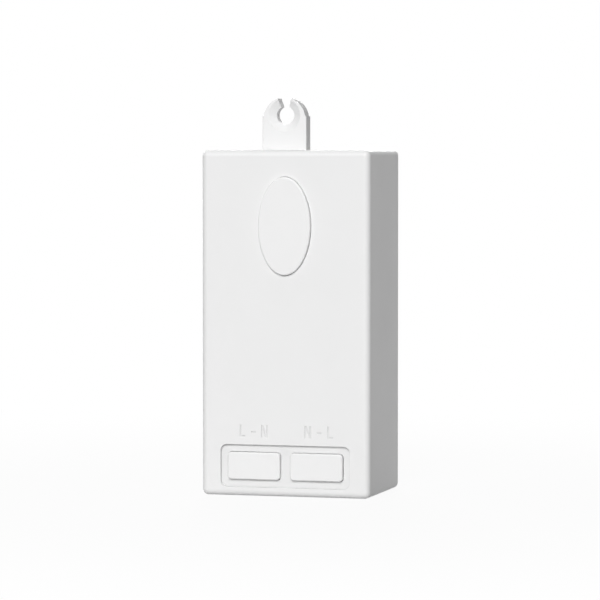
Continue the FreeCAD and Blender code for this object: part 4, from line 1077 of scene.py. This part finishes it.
class RECEIVER_OT_chips(ReceiverOperator):
    """Finish the moulded chips of both boards and dot their first leads"""

    bl_idname = "receiver.chips"
    bl_label = "Chips"

    def build(self, colours, trim):
        for name in CHIPS:
            resin = moulded(name + "_resin", colours.mouldings, trim, coarse=0.6, deep=2)
            bare_leads(resin, beside_front(resin, name), colours.tinned)
            dress(resin, name)
        chip_dots(trim.dot_radius, moulded("chip_print", shade(colours.nylon, 0.6), trim))


class RECEIVER_OT_control_parts(ReceiverOperator):
    """Finish the crystal, light, header, spacers, antenna and tact switch"""

    bl_idname = "receiver.control_parts"
    bl_label = "Control board parts"

    def build(self, colours, trim):
        dress(plated("crystal_can", colours.cans, lay=(0.2, 1, 1)), "crystal")
        base = moulded("led_base", colours.lens, trim)
        bare_leads(base, beside_front(base, "status_led"), colours.tinned)
        dress(base, "status_led")
        led_dome(dipped("led_lens", shade(colours.lens, 0.9)))
        dress(moulded("header_plastic", colours.mouldings, trim, deep=2), "link_header", "tact_base")
        dress(plated("pin_tin", colours.tinned, lay=(1, 0.15, 1)), "link_pins")
        dress(moulded("nylon", colours.nylon, trim, coarse=2, deep=2), "board_spacers")
        dress(wound_wire("antenna_copper", colours.copper), "antenna_wire")
        cover = plated("switch_steel", colours.springs, lay=(0.15, 1, 1))
        dress(cover, "tact_cover")
        sprung_copy("snap_dome", "contact_dome", "tact_plunger_press", cover)
        dress(moulded("plunger_plastic", colours.plunger, trim), "tact_plunger")


class RECEIVER_OT_stage(bpy.types.Operator):
    """Set up the floor, the light and the camera"""

    bl_idname = "receiver.stage"
    bl_label = "Stage"
    bl_options = {"REGISTER", "UNDO"}

    def execute(self, context):
        settings = context.scene.receiver_stage
        make_floor(settings)
        make_world(settings)
        make_lamp("front_lamp", settings.front_way, settings.lamp_spread, settings.front_level)
        make_lamp("top_lamp", settings.top_way, settings.lamp_spread, settings.top_level)
        make_lamp("rear_lamp", settings.rear_way, settings.lamp_spread, settings.rear_level)
        make_camera(settings)
        context.scene.view_settings.view_transform = "Standard"
        return {"FINISHED"}


OPERATORS = (
    RECEIVER_OT_housing, RECEIVER_OT_keys, RECEIVER_OT_screws, RECEIVER_OT_boards, RECEIVER_OT_terminals,
    RECEIVER_OT_relay, RECEIVER_OT_transformer, RECEIVER_OT_power_parts, RECEIVER_OT_chips,
    RECEIVER_OT_control_parts, RECEIVER_OT_stage,
)
GROUPS = {
    "receiver_colours": ReceiverColours,
    "receiver_trim": ReceiverTrim,
    "receiver_stage": ReceiverStage,
}


class RECEIVER_PT_panel(bpy.types.Panel):
    """Sizes, colours and steps of the receiver's looks"""

    bl_label = "Receiver"
    bl_idname = "RECEIVER_PT_panel"
    bl_space_type = "VIEW_3D"
    bl_region_type = "UI"
    bl_category = "Receiver"

    def draw(self, context):
        for name, group in GROUPS.items():
            box = self.layout.box()
            for field in group.__annotations__:
                box.prop(getattr(context.scene, name), field)
        for operator in OPERATORS:
            self.layout.operator(operator.bl_idname)


def register():
    for kind in (*GROUPS.values(), *OPERATORS, RECEIVER_PT_panel):
        bpy.utils.register_class(kind)
    for name, group in GROUPS.items():
        setattr(bpy.types.Scene, name, bpy.props.PointerProperty(type=group))


def unregister():
    for name in GROUPS:
        delattr(bpy.types.Scene, name)
    for kind in (RECEIVER_PT_panel, *reversed(OPERATORS), *reversed(GROUPS.values())):
        bpy.utils.unregister_class(kind)


def main():
    register()
    for operator in OPERATORS:
        call = getattr(bpy.ops.receiver, operator.bl_idname.split(".")[1])
        call()


if __name__ == "__main__":
    main()
